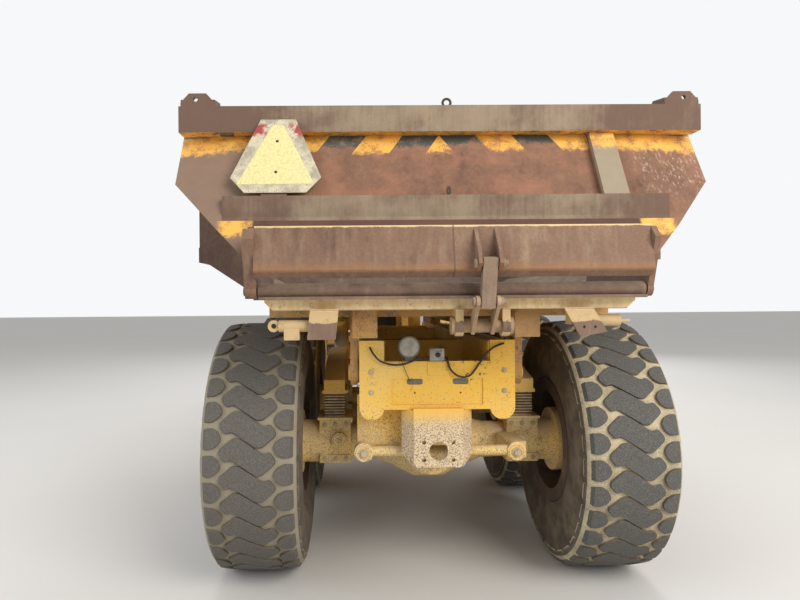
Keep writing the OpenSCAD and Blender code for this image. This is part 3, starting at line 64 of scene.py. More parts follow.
camera_data = bpy.data.cameras.new("photo_camera")
camera_data.sensor_width = 36.0
camera_data.lens = 27.0
camera_data.shift_x = 0.0477
camera_data.shift_y = 0.0011
camera_data.clip_start, camera_data.clip_end = 0.05, 200.0
camera = new_object("photo_camera", camera_data)
camera.location = (-0.430, LAST_AXLE_Y - 3.729, 1.596)
look = Vector((CAMERA_TURN, 1.0, CAMERA_DIP)).normalized()
camera_right = Vector((1.0, -CAMERA_TURN, 0.0)).normalized()
camera_up = camera_right.cross(look)
right_axis = camera_right * math.cos(CAMERA_TILT) + camera_up * math.sin(CAMERA_TILT)
up_axis = camera_up * math.cos(CAMERA_TILT) - camera_right * math.sin(CAMERA_TILT)
camera.rotation_mode = "QUATERNION"
camera.rotation_quaternion = Matrix((right_axis, up_axis, -look)).transposed().to_quaternion()
bpy.context.scene.camera = camera


# ---------------- rear frame
# The rear frame, the walking beams, the axles and their stays are welded plate and castings under
# thick yellow paint, which is dusty, stone-chipped low down and rusted along its edges.
def operator(operation, turned=False):
    """A method of Field that makes this maths node, with the field second if turned."""
    def method(self, other=0.0):
        return self.maths(operation, other, turned=turned)
    return method


class Field:
    """The output of a shader node. Arithmetic with it makes the maths nodes."""

    def __init__(self, tree, socket):
        self.tree, self.socket = tree, socket

    def maths(self, operation, other=0.0, clamp=False, turned=False):
        a, b = (other, self) if turned else (self, other)
        return add_node(self.tree, "Math", {0: a, 1: b}, operation=operation, use_clamp=clamp)

    __add__, __radd__ = operator("ADD"), operator("ADD", turned=True)
    __sub__, __rsub__ = operator("SUBTRACT"), operator("SUBTRACT", turned=True)
    __mul__, __truediv__ = operator("MULTIPLY"), operator("DIVIDE")
    __lt__, __gt__, __abs__ = operator("LESS_THAN"), operator("GREATER_THAN"), operator("ABSOLUTE")


def wire(value, socket):
    """Joins a field to a socket, or sets the socket to a constant."""
    if isinstance(value, Field):
        value.tree.links.new(value.socket, socket)
    else:
        socket.default_value = value


def add_node(tree, kind, inputs=None, output=0, **settings):
    """One output of a new shader node, whose inputs are constants or fields."""
    made = tree.nodes.new("ShaderNode" + kind)
    for key, value in settings.items():
        setattr(made, key, value)
    for key, value in (inputs or {}).items():
        wire(value, made.inputs[key])
    return Field(tree, made.outputs[output])


def greater(a, b):
    return a.maths("MAXIMUM", b)


def ramp(value, low, high):
    """0 below low and 1 above high; turned round when low is above high."""
    return add_node(value.tree, "MapRange", {0: value, 1: low, 2: high, 3: 0.0, 4: 1.0},
                    interpolation_type="SMOOTHSTEP")


def colour(red, green, blue):
    """A colour as a picture shows it, from 0 to 255, in Blender's linear light."""
    return tuple((c / 255 / 12.92) if c < 10 else ((c / 255 + 0.055) / 1.055) ** 2.4
                 for c in (red, green, blue)) + (1.0,)


def mix(mask, a, b):
    """Two fields or colours, a where the mask is 0 and b where it is 1."""
    tree = next(value.tree for value in (mask, a, b) if isinstance(value, Field))
    a, b = (colour(*tint) if isinstance(tint, tuple) and len(tint) == 3 else tint for tint in (a, b))
    return add_node(tree, "Mix", {0: mask, 6: a, 7: b}, 2, data_type="RGBA")


def object_place(tree):
    return add_node(tree, "TexCoord", output="Object")


def surface_normal(tree):
    return add_node(tree, "NewGeometry", output="Normal")


def axes(vector):
    """The x, y and z of a vector field."""
    made = vector.tree.nodes.new("ShaderNodeSeparateXYZ")
    wire(vector, made.inputs[0])
    return [Field(vector.tree, socket) for socket in made.outputs]


def noise(place, scale, detail, roughness=0.5):
    return add_node(place.tree, "TexNoise",
                    {"Vector": place, "Scale": scale, "Detail": detail, "Roughness": roughness})


def stretched(place, scale, turn=(0.0, 0.0, 0.0)):
    return add_node(place.tree, "Mapping", {"Vector": place, "Rotation": turn, "Scale": scale})


def new_group(name, inputs, outputs):
    """A node group, its inputs as fields and its outputs as sockets."""
    group = bpy.data.node_groups.new(name, "ShaderNodeTree")
    for label, kind, value in inputs:
        socket = group.interface.new_socket(label, in_out="INPUT", socket_type="NodeSocket" + kind)
        socket.default_value = value
    for label, kind in outputs:
        group.interface.new_socket(label, in_out="OUTPUT", socket_type="NodeSocket" + kind)
    sockets = group.nodes.new("NodeGroupInput").outputs
    given = {label: Field(group, sockets[label]) for label, kind, value in inputs}
    return group, given, group.nodes.new("NodeGroupOutput").inputs


# Patches of something over the paint: large islands with speckled, frayed edges.
patches, given, out = new_group(
    "Patches",
    [("Scale", "Float", 3.0), ("Amount", "Float", 0.3), ("Fleck", "Float", 0.5)],
    [("Mask", "Float"), ("Height", "Float")])
place = object_place(patches)
islands = noise(place, given["Scale"], 5.0, 0.62)
flecks = noise(place, given["Scale"] * 14.0, 3.0, 0.7)
both_sizes = islands + (flecks - 0.5) * given["Fleck"]
mask = ramp(both_sizes - (0.8 - given["Amount"] * 0.6), -0.02, 0.03)
wire(mask, out["Mask"])
wire(mask * flecks, out["Height"])

# Old rust: brown plates of colour with paler blooms and fine pits.
old_rust, given, out = new_group(
    "Old rust",
    [("Dark", "Color", colour(70, 52, 44)), ("Mid", "Color", colour(112, 88, 74)),
     ("Pale", "Color", colour(150, 128, 104)), ("Scale", "Float", 2.0)],
    [("Color", "Color"), ("Height", "Float")])
place = object_place(old_rust)
cloud = noise(place, given["Scale"], 6.0, 0.65)
grain = noise(place, given["Scale"] * 40.0, 4.0, 0.75)
streaks = noise(stretched(place, (9.0, 9.0, 0.8)), given["Scale"], 4.0, 0.6)
tone = cloud * 0.6 + streaks * 0.4
dark_mid = mix(ramp(tone, 0.3, 0.52), given["Dark"], given["Mid"])
mid_pale = mix(ramp(tone, 0.52, 0.72), dark_mid, given["Pale"])
pitted = mix(ramp(grain, 0.62, 0.42), mid_pale, given["Dark"])
wire(mix(0.28, mid_pale, pitted), out["Color"])
wire(grain, out["Height"])

# Dust that settles on what faces up and clings low down.
settled_dust, given, out = new_group(
    "Settled dust",
    [("Amount", "Float", 0.5), ("Low", "Float", 0.6), ("High", "Float", 1.2)],
    [("Mask", "Float")])
place = object_place(settled_dust)
up = axes(surface_normal(settled_dust))[2]
height = axes(place)[2]
low_part = add_node(settled_dust, "MapRange",
                    {0: height, 1: given["High"], 2: given["Low"], 3: 0.0, 4: 0.55})
lying = ramp(up, 0.15, 0.95) + low_part
drift = noise(place, 6.0, 6.0, 0.7)
cling = (lying * given["Amount"]).maths("MULTIPLY", ramp(drift, 0.3, 0.65), clamp=True)
wire(cling, out["Mask"])

# Small flecks that stones knock out of the paint, thickest low down.
stone_flecks, given, out = new_group(
    "Stone flecks",
    [("Scale", "Float", 120.0), ("Amount", "Float", 0.5), ("Above", "Float", 0.3),
     ("Low", "Float", 0.8), ("High", "Float", 1.3)],
    [("Mask", "Float")])
place = object_place(stone_flecks)
height = axes(place)[2]
share = add_node(stone_flecks, "MapRange",
                 {0: height, 1: given["High"], 2: given["Low"], 3: given["Above"], 4: 1.0})
dots = noise(place, given["Scale"], 2.0, 0.6)
cloud = noise(place, 6.0, 4.0)
level = given["Amount"] * share * (cloud + 0.5)
reach = dots + (level - 0.5) * 0.35
wire(ramp(reach, 0.53, 0.58), out["Mask"])


def new_material(name):
    """A new material, its node tree and its object coordinates."""
    made = bpy.data.materials.new(name)
    made.use_nodes = True
    return made, made.node_tree, object_place(made.node_tree)


def coat(made, tint, roughness, normal=None, metallic=0.0):
    """Gives a material its colour, roughness and relief."""
    shader = made.node_tree.nodes["Principled BSDF"]
    wire(tint, shader.inputs["Base Color"])
    wire(roughness, shader.inputs["Roughness"])
    wire(metallic, shader.inputs["Metallic"])
    if normal:
        wire(normal, shader.inputs["Normal"])
    return made


def use_group(tree, group, **values):
    """A node group's outputs as fields, by their names."""
    made = tree.nodes.new("ShaderNodeGroup")
    made.node_tree = group
    for key, value in values.items():
        made.inputs[key].default_value = value
    return {socket.name: Field(tree, socket) for socket in made.outputs}


def bump(height, strength, distance=0.004, under=None):
    inputs = {"Height": height, "Strength": strength, "Distance": distance}
    return add_node(height.tree, "Bump", {**inputs, "Normal": under} if under else inputs)


def yellow_paint(name, paint, worn, chips, rust, dust, low, high, flecks=0.5):
    """Thick yellow paint: sun-faded in clouds, chipped in flecks, rusty in islands, dusty low down."""
    made, tree, place = new_material(name)
    fade = noise(place, 2.2, 4.0)
    base = mix(ramp(fade, 0.35, 0.7), paint, worn)
    chip = use_group(tree, patches, Scale=11.0, Amount=chips, Fleck=0.9)
    island = use_group(tree, patches, Scale=2.6, Amount=rust, Fleck=0.7)
    skin = use_group(tree, old_rust, Scale=3.0)
    settled = use_group(tree, settled_dust, Amount=dust, Low=low, High=high)
    fleck = use_group(tree, stone_flecks, Amount=flecks, Low=low, High=high)["Mask"]
    flecked = mix(fleck * 0.75, base, (128, 92, 76))
    spotted = mix(chip["Mask"] * 0.7, flecked, skin["Color"])
    rusty = mix(island["Mask"], spotted, skin["Color"])
    dusty = mix(settled["Mask"], rusty, (218, 194, 150))
    rough = 0.48 + greater(island["Mask"], settled["Mask"]) * 0.4
    return coat(made, dusty, rough, bump(skin["Height"] - chip["Mask"], 0.35))


def dress(material, *names):
    """Gives these CAD nodes one finish."""
    for name in names:
        for slot in nodes[name].material_slots:
            slot.material = material


frame_paint = yellow_paint("frame_paint", (238, 186, 64), (236, 196, 104), chips=0.20, rust=0.06,
                           dust=1.15, low=0.78, high=1.12, flecks=0.62)
dress(frame_paint, "rear_frame", "bogie_beams")
low_paint = yellow_paint("stone_chipped_paint", (236, 196, 108), (228, 204, 148), chips=0.24, rust=0.08,
                         dust=0.95, low=0.5, high=1.25, flecks=0.6)
dress(low_paint, "bogie_axles", "axle_stays")


# ---------------- tow bracket
# The tow bracket is a flared plate under the frame, blasted by stones down to primer and steel,
# so its paint is left only as cream crumbs.
def rust_tones(tree, dark, mid, pale, scale):
    """Old rust in these three colours."""
    return use_group(tree, old_rust, Dark=colour(*dark), Mid=colour(*mid), Pale=colour(*pale),
                     Scale=scale)


def chipped_plate():
    made, tree, place = new_material("blasted_tow_plate")
    height = axes(place)[2]
    crumbs = add_node(tree, "TexVoronoi", {"Vector": place, "Scale": 190.0}, "Distance")
    cloud = noise(place, 105.0, 5.0, 0.7)
    low = ramp(height, 1.02, 0.9)
    bare = ramp(cloud + crumbs * 0.3, 0.66, 0.56) * low
    skin = rust_tones(tree, (118, 96, 82), (146, 122, 102), (170, 146, 120), 5.0)
    cream = mix(low, (238, 188, 84), (218, 196, 160))
    return coat(made, mix(bare, cream, skin["Color"]), 0.75, bump(bare, 0.4, 0.003))


dress(chipped_plate(), "tow_bracket")


# ---------------- bolts of the frame
# The frame's end plates and the clamps of the axle seats are held by hexagon bolts on washers,
# grey with dust. The stays' eyes and the seats' bosses are ringed, with a bolt in the middle.
def select_only(*pieces):
    """Selects these, and makes the first of them active."""
    bpy.ops.object.select_all(action="DESELECT")
    for piece in pieces:
        piece.select_set(True)
    bpy.context.view_layer.objects.active = pieces[0]


def edit_all():
    """Opens the active piece for editing, with all of it selected."""
    bpy.ops.object.mode_set(mode="EDIT")
    bpy.ops.mesh.select_all(action="SELECT")


def stop_editing(normals=False):
    """Leaves editing, with the faces turned outward first if asked."""
    if normals:
        bpy.ops.mesh.select_all(action="SELECT")
        bpy.ops.mesh.normals_make_consistent(inside=False)
    bpy.ops.object.mode_set(mode="OBJECT")


def join_pieces(name, parts):
    select_only(*parts)
    bpy.ops.object.join()
    parts[0].name = parts[0].data.name = name
    return parts[0]


def finish_piece(name, parts, body, material, smooth=40):
    """The parts as one piece that rides on its body, in its finish, with its place in its mesh."""
    piece = join_pieces(name, parts)
    select_only(piece)
    bpy.ops.object.transform_apply(location=True, rotation=True, scale=True)
    edit_all()
    bpy.ops.mesh.remove_doubles(threshold=0.00005)
    stop_editing(normals=True)
    bpy.ops.object.shade_smooth_by_angle(angle=math.radians(smooth))
    piece.data.materials.clear()
    piece.data.materials.append(material)
    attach(piece, body)


def stand(piece, at, facing):
    """Moves a piece from the origin to the point at, with its Z axis along facing."""
    turned = Vector(facing).to_track_quat("Z", "Y").to_matrix().to_4x4()
    piece.matrix_world = Matrix.Translation(Vector(at)) @ turned
    bpy.ops.object.transform_apply(location=True, rotation=True)
    return piece


def add_disc(sides, radius, low, high):
    bpy.ops.object.select_all(action="DESELECT")
    bpy.ops.mesh.primitive_cylinder_add(vertices=sides, radius=radius, depth=high - low,
                                        location=(0, 0, (low + high) / 2))
    return bpy.context.object


def add_bolt(at, facing, size, tall):
    """A hexagon head on a washer, standing on the point at, along facing."""
    washer = add_disc(20, size * 1.5, 0.0, tall * 0.3)
    head = add_disc(6, size, tall * 0.28, tall * 1.08)
    edit_all()
    bpy.ops.mesh.bevel(offset=size * 0.09, segments=1)
    stop_editing()
    bolt = join_pieces("bolt", [washer, head])
    bpy.ops.object.transform_apply(location=True)
    return stand(bolt, at, facing)


def add_ring(at, facing, radius, thick):
    """A raised ring on the point at, along facing."""
    bpy.ops.object.select_all(action="DESELECT")
    bpy.ops.mesh.primitive_torus_add(major_radius=radius, minor_radius=thick,
                                     major_segments=28, minor_segments=8)
    return stand(bpy.context.object, at, facing)


def add_block(low_corner, high_corner, edge=0.003):
    """A plate or block between two corners, its edges broken."""
    bpy.ops.object.select_all(action="DESELECT")
    middle = [(a + b) / 2 for a, b in zip(low_corner, high_corner)]
    bpy.ops.mesh.primitive_cube_add(size=1.0, location=middle)
    block = bpy.context.object
    block.scale = [b - a for a, b in zip(low_corner, high_corner)]
    bpy.ops.object.transform_apply(location=True, scale=True)
    edit_all()
    bpy.ops.mesh.bevel(offset=edge, segments=2)
    stop_editing()
    return block


def bare_steel(name, dark, mid, pale, roughness, metallic=0.0):
    made, tree, place = new_material(name)
    skin = rust_tones(tree, dark, mid, pale, 4.0)
    return coat(made, skin["Color"], roughness, bump(skin["Height"], 0.25, 0.002), metallic)


FIRST_BOGIE_Y = LAST_AXLE_Y + 1.54
END_PLATE_Y = LAST_AXLE_Y - 0.523
END_PLATE_BOLTS = [(-0.354, 1.212), (-0.354, 1.102), (0.360, 1.217), (0.360, 1.107)]
SEAT_HALF_Y = 0.120
STRAP_THICK, STRAP_LEVELS = 0.009, ((0.828, 0.878), (0.622, 0.670))
BOSS_X, BOSS_Z = 0.537, 0.760
STAY_EYES_X, STAY_EYE_Z = (-0.395, 0.450), 0.752
frame_bolts = [add_bolt((x, END_PLATE_Y, z), (0, -1, 0), 0.010, 0.009) for x, z in END_PLATE_BOLTS]
clamps = []
for axle_y, out_y in ((LAST_AXLE_Y, -1), (FIRST_BOGIE_Y, 1)):
    face = axle_y + out_y * SEAT_HALF_Y
    strap_face = face + out_y * STRAP_THICK
    facing = (0, out_y, 0)
    for side in (-1, 1):
        for low_z, high_z in STRAP_LEVELS:
            near, far = sorted((side * 0.472, side * 0.656))
            clamps.append(add_block((near, min(face, strap_face), low_z),
                                    (far, max(face, strap_face), high_z)))
            middle_z = (low_z + high_z) / 2
            frame_bolts += [add_bolt((side * x, strap_face, middle_z), facing, 0.0105, 0.009)
                            for x in (0.497, 0.560, 0.625)]
        boss = (side * BOSS_X, axle_y + out_y * 0.150, BOSS_Z)
        clamps += [add_ring(boss, facing, 0.034, 0.004), add_ring(boss, facing, 0.018, 0.003)]
        frame_bolts.append(add_bolt(boss, facing, 0.009, 0.008))
    for eye_x in STAY_EYES_X:
        eye = (eye_x, axle_y + out_y * 0.4295, STAY_EYE_Z)
        clamps.append(add_ring(eye, facing, 0.042, 0.004))
        frame_bolts.append(add_bolt(eye, facing, 0.019, 0.016))
bolt_steel = bare_steel("dusty_bolts", (150, 128, 100), (196, 176, 140), (226, 212, 184), 0.6)
finish_piece("frame_bolts", frame_bolts, "rear_unit", bolt_steel)
finish_piece("seat_clamps", clamps, "rear_unit", low_paint)


# ---------------- rubber springs, shafts
# Each spring is a stack of rubber layers bonded to steel plates, grey with old dust. The propeller
# shafts are bare steel, greasy and brown.
SPRING_FOOT_Z = 0.8953
SPRING_STEP = 0.016925
SPRING_PLATE = 0.008


def dusty_rubber():
    made, tree, place = new_material("dusty_rubber")
    z = axes(place)[2]
    along = ((z - (SPRING_FOOT_Z - 0.0005)) / SPRING_STEP).maths("FRACT")
    plate = along < (SPRING_PLATE + 0.001) / SPRING_STEP
    grime = noise(place, 24.0, 5.0, 0.7)
    steel = mix(ramp(grime, 0.35, 0.65), (206, 184, 146), (168, 146, 112))
    rubber = mix(ramp(grime, 0.35, 0.65), (66, 60, 52), (96, 86, 72))
    return coat(made, mix(plate, rubber, steel), 0.85, bump(grime, 0.3, 0.002))


dress(dusty_rubber(), "rubber_springs")
dress(bare_steel("greasy_steel", (52, 46, 40), (88, 76, 64), (120, 104, 84), 0.6, 0.3), "drive_shafts")


# ---------------- rear lamp, leads, slot plugs
# The round lamp, a sensor on its bracket and their rubber-covered leads sit on the cross member,
# whose two slots are closed by grey plugs. Each lead hangs between the places it goes in at.
LAMP_LOW, LAMP_HIGH = (Vector(corner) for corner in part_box("rear_lamp"))
LAMP_RADIUS = (LAMP_HIGH.x - LAMP_LOW.x) / 2
LAMP_CENTRE = ((LAMP_LOW.x + LAMP_HIGH.x) / 2, 0.0, LAMP_HIGH.z - LAMP_RADIUS)


def dull_lens():
    made, tree, place = new_material("dull_lens")
    from_centre = add_node(tree, "VectorMath", {0: place, 1: LAMP_CENTRE}, operation="SUBTRACT")
    flat = add_node(tree, "VectorMath", {0: from_centre, 1: (1.0, 0.0, 1.0)}, operation="MULTIPLY")
    radius = add_node(tree, "VectorMath", {0: flat}, "Value", operation="LENGTH")
    rings = (radius * 1100.0).maths("SINE")
    haze = noise(place, 30.0, 5.0)
    lens = mix(ramp(haze, 0.35, 0.7), (150, 148, 134), (184, 180, 164))
    lens = mix(ramp(rings, 0.2, 1.0) * 0.25, lens, (206, 202, 186))
    rim = ramp(radius, LAMP_RADIUS * 0.84, LAMP_RADIUS * 0.86) * 0.85
    return coat(made, mix(rim, lens, (98, 90, 76)), 0.35, bump(rings, 0.2, 0.001))


dress(dull_lens(), "rear_lamp")


def smooth_route(points, steps=3):
    """The given points, with steps - 1 more on a smooth curve between each pair."""
    ends = [points[0]] + list(points) + [points[-1]]
    route = []
    for a, b, c, d in zip(ends, ends[1:], ends[2:], ends[3:]):
        a, b, c, d = (Vector(point) for point in (a, b, c, d))
        for step in range(steps):
            t = step / steps
            route.append(0.5 * (2 * b + (c - a) * t + (2 * a - 5 * b + 4 * c - d) * t * t
                                + (3 * b - a - 3 * c + d) * t ** 3))
    return route + [Vector(points[-1])]


def draw_line(name, points, thick, closed=False):
    """A round bar or cord of this thickness along the points."""
    line = bpy.data.curves.new(name, "CURVE")
    line.dimensions = "3D"
    line.bevel_depth = thick / 2
    line.bevel_resolution = 3
    line.use_fill_caps = not closed
    spline = line.splines.new("POLY")
    spline.points.add(len(points) - 1)
    for point, at in zip(spline.points, points):
        point.co = (*at, 1.0)
    spline.use_smooth = True
    spline.use_cyclic_u = closed
    return new_object(name, line)


def hang_lead(name, points, thick, material):
    """A lead that leaves the truck at its first point and goes back into it at its last."""
    route = smooth_route(points)
    lead = draw_line(name, route, thick)
    lead.data.materials.append(material)
    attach(lead, "rear_unit")


lead_rubber = bare_steel("lead_rubber", (26, 25, 24), (42, 40, 38), (96, 86, 70), 0.5)
hang_lead("lamp_lead", [
    (-0.359, -3.768, 1.342), (-0.355, -3.788, 1.334), (-0.339, -3.796, 1.307), (-0.307, -3.794, 1.274),
    (-0.252, -3.787, 1.254), (-0.198, -3.785, 1.252), (-0.150, -3.785, 1.264), (-0.110, -3.782, 1.281),
    (-0.072, -3.768, 1.288), (-0.040, -3.752, 1.289)], 0.011, lead_rubber)
hang_lead("sensor_lead", [
    (0.041, -3.752, 1.289), (0.053, -3.766, 1.284), (0.057, -3.783, 1.258), (0.070, -3.790, 1.222),
    (0.102, -3.791, 1.193), (0.140, -3.791, 1.184), (0.172, -3.789, 1.193), (0.196, -3.786, 1.218),
    (0.217, -3.784, 1.248), (0.243, -3.784, 1.283), (0.270, -3.784, 1.318), (0.308, -3.785, 1.345),
    (0.338, -3.782, 1.356), (0.356, -3.768, 1.360)], 0.011, lead_rubber)
hang_lead("lamp_wire", [
    (-0.205, -3.752, 1.334), (-0.202, -3.770, 1.314), (-0.190, -3.776, 1.270), (-0.172, -3.776, 1.220),
    (-0.153, -3.773, 1.176), (-0.144, -3.764, 1.162)], 0.003, lead_rubber)

SOCKET_X, SOCKET_Z = 0.004, 1.301
PLUGS_X, PLUG_HALF = (-0.120, 0.126), 0.041
BEHIND = (0, -1, 0)
tab = [add_block((-0.052, END_PLATE_Y - 0.006, 1.190), (0.065, END_PLATE_Y, 1.264), 0.002)]
finish_piece("sensor_tab", tab, "rear_unit", frame_paint)
sensor = [add_block((-0.040, END_PLATE_Y + 0.002, 1.267), (0.041, END_PLATE_Y + 0.030, 1.336), 0.006),
          add_ring((SOCKET_X, END_PLATE_Y + 0.001, SOCKET_Z), BEHIND, 0.017, 0.004)]
sensor += [add_bolt((x, END_PLATE_Y + 0.002, z), BEHIND, 0.005, 0.005)
           for x in (-0.028, 0.030) for z in (1.279, 1.324)]
grey_cast = bare_steel("grey_casting", (132, 128, 118), (176, 170, 158), (214, 208, 196), 0.5, 0.2)
finish_piece("sensor_bracket", sensor, "rear_unit", grey_cast)
socket = [add_bolt((SOCKET_X, END_PLATE_Y + 0.002, SOCKET_Z), BEHIND, 0.0095, 0.010)]
finish_piece("sensor_socket", socket, "rear_unit", lead_rubber)
slot_plugs = [add_block((x - PLUG_HALF, END_PLATE_Y + 0.005, 1.1435),
                        (x + PLUG_HALF, END_PLATE_Y + 0.014, 1.1725), 0.004) for x in PLUGS_X]
plug_rubber = bare_steel("plug_rubber", (84, 82, 76), (112, 108, 100), (142, 136, 122), 0.8)
finish_piece("slot_plugs", slot_plugs, "rear_unit", plug_rubber)


# ---------------- hitch
# The hitch is a steel casting and a turned tube, painted yellow like the frame. It rolls in the
# rear frame's bearing and steers on the pins of the front unit.
dress(frame_paint, "hitch")


# ---------------- tyres
# The tyres are worn radial earthmover tyres: a moulded casing with bulged walls, a row of slanted
# lugs round the middle and a row of five-sided shoulder blocks on each side, dust in the grooves.
FRONT_AXLE_Y = FIRST_BOGIE_Y + 3.95
TRACK_HALF = 0.985
TYRE_R = 0.730
PITCHES = 33
GROOVE = 0.015          # depth of the grooves between the lugs
ROOT = 0.004            # how far a lug reaches into the casing
TOP_EDGE = 0.0025       # the broken edge round a lug's top
CASING = [
    (0.2157, 0.3178), (0.2157, 0.3775), (0.2350, 0.3800), (0.2460, 0.4150), (0.2480, 0.4200),
    (0.2545, 0.4600), (0.2595, 0.5000), (0.2604, 0.5400), (0.2595, 0.5800), (0.2580, 0.5880),
    (0.2600, 0.5920), (0.2570, 0.5980), (0.2545, 0.6200), (0.2460, 0.6550), (0.2400, 0.6750),
    (0.2440, 0.6800), (0.2370, 0.6920), (0.2250, 0.7010), (0.2000, 0.7080), (0.1000, 0.7142),
    (0.0, 0.7150)]
HALF_LUG = [(-0.071, 0.092), (-0.039, 0.090), (0.076, 0.013), (0.108, 0.024), (0.1375, -0.014),
            (0.135, -0.036)]
LUG = HALF_LUG + [(-x, -s) for x, s in HALF_LUG]
SHOULDER = [(-0.247, 0.050), (-0.176, 0.053), (-0.146, 0.030), (-0.134, -0.004), (-0.152, -0.034),
            (-0.186, -0.052), (-0.247, -0.049)]


def crown(x):
    """Radius of the worn tread at x across the tyre."""
    return TYRE_R - 0.0085 * max(0.0, (abs(x) - 0.10) / 0.10) ** 2 - 1.35 * max(0.0, abs(x) - 0.216)


def drawn_mesh(name, points, edges=(), faces=()):
    mesh = bpy.data.meshes.new(name)
    mesh.from_pydata(points, edges, faces)
    made = new_object(name, mesh)
    select_only(made)
    return made


def tread_block(outline, shift, name):
    """A flat block of rubber, wider at its foot, with rounded top edges, laid out in the plane."""
    block = drawn_mesh(name, [(x, s + shift, 0.0) for x, s in outline], faces=[range(len(outline))])
    middle = [sum(values) / len(outline) for values in zip(*outline)]
    middle = (middle[0], middle[1] + shift, 0.0)
    edit_all()
    bpy.ops.mesh.bevel(offset=0.009, segments=2, affect="VERTICES")
    bpy.ops.mesh.select_all(action="SELECT")
    bpy.ops.transform.resize(value=(1.06, 1.06, 1.0), center_override=middle)
    bpy.ops.mesh.extrude_region_move(TRANSFORM_OT_translate={"value": (0, 0, 1.0)})
    bpy.ops.transform.resize(value=(0.975, 0.975, 1.0), center_override=middle)
    bpy.ops.mesh.inset(thickness=TOP_EDGE, depth=0.0)
    bpy.ops.transform.translate(value=(0, 0, 0.25))
    # cuts both ways let the flat block bend round the tyre and over its shoulder
    cuts = [((0, s + shift, 0), (0, 1, 0)) for s in (-0.06, -0.03, 0.0, 0.03, 0.06)]
    cuts += [((x, 0, 0), (1, 0, 0)) for x in (-0.235, -0.216, -0.19, -0.165, -0.06, 0.0, 0.06, 0.165,
                                              0.19, 0.216, 0.235)]
    for at, facing in cuts:
        bpy.ops.mesh.select_all(action="SELECT")
        bpy.ops.mesh.bisect(plane_co=at, plane_no=facing)
    stop_editing()
    return block


def dust_points(piece, share_at):
    """Stores how dusty each point is, from its place across the tyre and its radius."""
    dust = piece.data.attributes.new("dust", "FLOAT", "POINT")
    for index, point in enumerate(piece.data.vertices):
        dust.data[index].value = share_at(point.co.x, math.hypot(point.co.y, point.co.z))


def tread_dust(x, radius):
    depth = crown(x) - radius
    return 0.0 if depth < 0.0012 else (0.25 if depth < 0.004 else 1.0)


def casing_dust(x, radius):
    return 1.0 if radius > 0.677 else (0.45 if radius > 0.66 else 0.3)


def tyre_mesh():
    """One tyre about the X axis."""
    shift = math.pi / PITCHES * TYRE_R - 0.022
    tread = join_pieces("tread", [
        tread_block(LUG, 0.0, "lug"), tread_block(SHOULDER, -shift, "left_block"),
        tread_block([(-x, -s) for x, s in SHOULDER], shift, "right_block")])
    for point in tread.data.vertices:
        x, s, level = point.co
        radius = (crown(x) - GROOVE - ROOT + min(1.0, level) * (GROOVE + ROOT - TOP_EDGE)
                  + (TOP_EDGE if level > 1.1 else 0.0))
        point.co = (x, -radius * math.cos(s / TYRE_R), radius * math.sin(s / TYRE_R))
    dust_points(tread, tread_dust)
    edit_all()
    bpy.ops.mesh.spin(steps=PITCHES - 1, dupli=True, angle=2 * math.pi * (PITCHES - 1) / PITCHES,
                      center=(0, 0, 0), axis=(1, 0, 0))
    stop_editing(normals=True)

    profile = CASING + [(-x, r) for x, r in reversed(CASING[:-1])]
    casing = drawn_mesh("casing", [(x, -r, 0.0) for x, r in profile],
                        edges=[(i, i + 1) for i in range(len(profile) - 1)])
    edit_all()
    bpy.ops.mesh.spin(steps=96, angle=2 * math.pi, center=(0, 0, 0), axis=(1, 0, 0))
    bpy.ops.mesh.select_all(action="SELECT")
    bpy.ops.mesh.remove_doubles(threshold=0.0001)
    stop_editing(normals=True)
    dust_points(casing, casing_dust)
    return join_pieces("tyre", [casing, tread])


def tyre_rubber(name, groove_dust_and_light, wall_tint, top_tint):
    made, tree, place = new_material(name)
    dust = add_node(tree, "Attribute", output="Fac", attribute_name="dust", attribute_type="GEOMETRY")
    speck = noise(place, 160.0, 3.0, 0.8)
    cloud = noise(place, 7.0, 6.0, 0.65)
    top = mix(ramp(speck, 0.4, 0.72), top_tint, (112, 108, 102))
    wall = mix(ramp(cloud, 0.35, 0.68), wall_tint, (110, 97, 80))
    pale = mix(ramp(cloud * 0.5 + speck * 0.5, 0.38, 0.62), (140, 128, 106), groove_dust_and_light)
    side = mix(ramp(dust, 0.05, 0.28), top, wall)
    return coat(made, mix(ramp(dust, 0.5, 0.95), side, pale), 0.85, bump(speck, 0.25, 0.002))


# The right side's tyres get paler dusty grooves and darker lug tops, partly dust and partly painted
# sunlight; the left side's copy is duller, as painted shade.
lit_dusty_tyre = tyre_rubber("lit_dusty_tyre_rubber", (200, 186, 154), (72, 63, 52), (74, 74, 71))
shaded_dusty_tyre = tyre_rubber("shaded_dusty_tyre_rubber", (148, 142, 126), (78, 70, 60), (84, 79, 73))
WHEELS = [
    ("rear_left", -1, LAST_AXLE_Y, 6.67, shaded_dusty_tyre), ("rear_right", 1, LAST_AXLE_Y, 3.22, lit_dusty_tyre),
    ("mid_left", -1, FIRST_BOGIE_Y, 2.0, shaded_dusty_tyre), ("mid_right", 1, FIRST_BOGIE_Y, 8.0, lit_dusty_tyre),
    ("front_left", -1, FRONT_AXLE_Y, 5.0, shaded_dusty_tyre), ("front_right", 1, FRONT_AXLE_Y, 1.0, lit_dusty_tyre)]
first_tyre = tyre_mesh()
for wheel, side, wheel_y, turn, rubber in WHEELS:
    tyre = new_object("treaded_tyre_" + wheel, first_tyre.data.copy())
    tyre.data.name = tyre.name
    tyre.data.transform(Matrix.Translation((side * TRACK_HALF, wheel_y, TYRE_R))
                        @ Matrix.Rotation(-math.radians(turn), 4, "X"))
    tyre.data.materials.clear()
    tyre.data.materials.append(rubber)
    select_only(tyre)
    bpy.ops.object.shade_smooth_by_angle(angle=math.radians(38))
    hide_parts("tyre_" + wheel)
    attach(tyre, "wheel_" + wheel)
bpy.data.objects.remove(first_tyre)


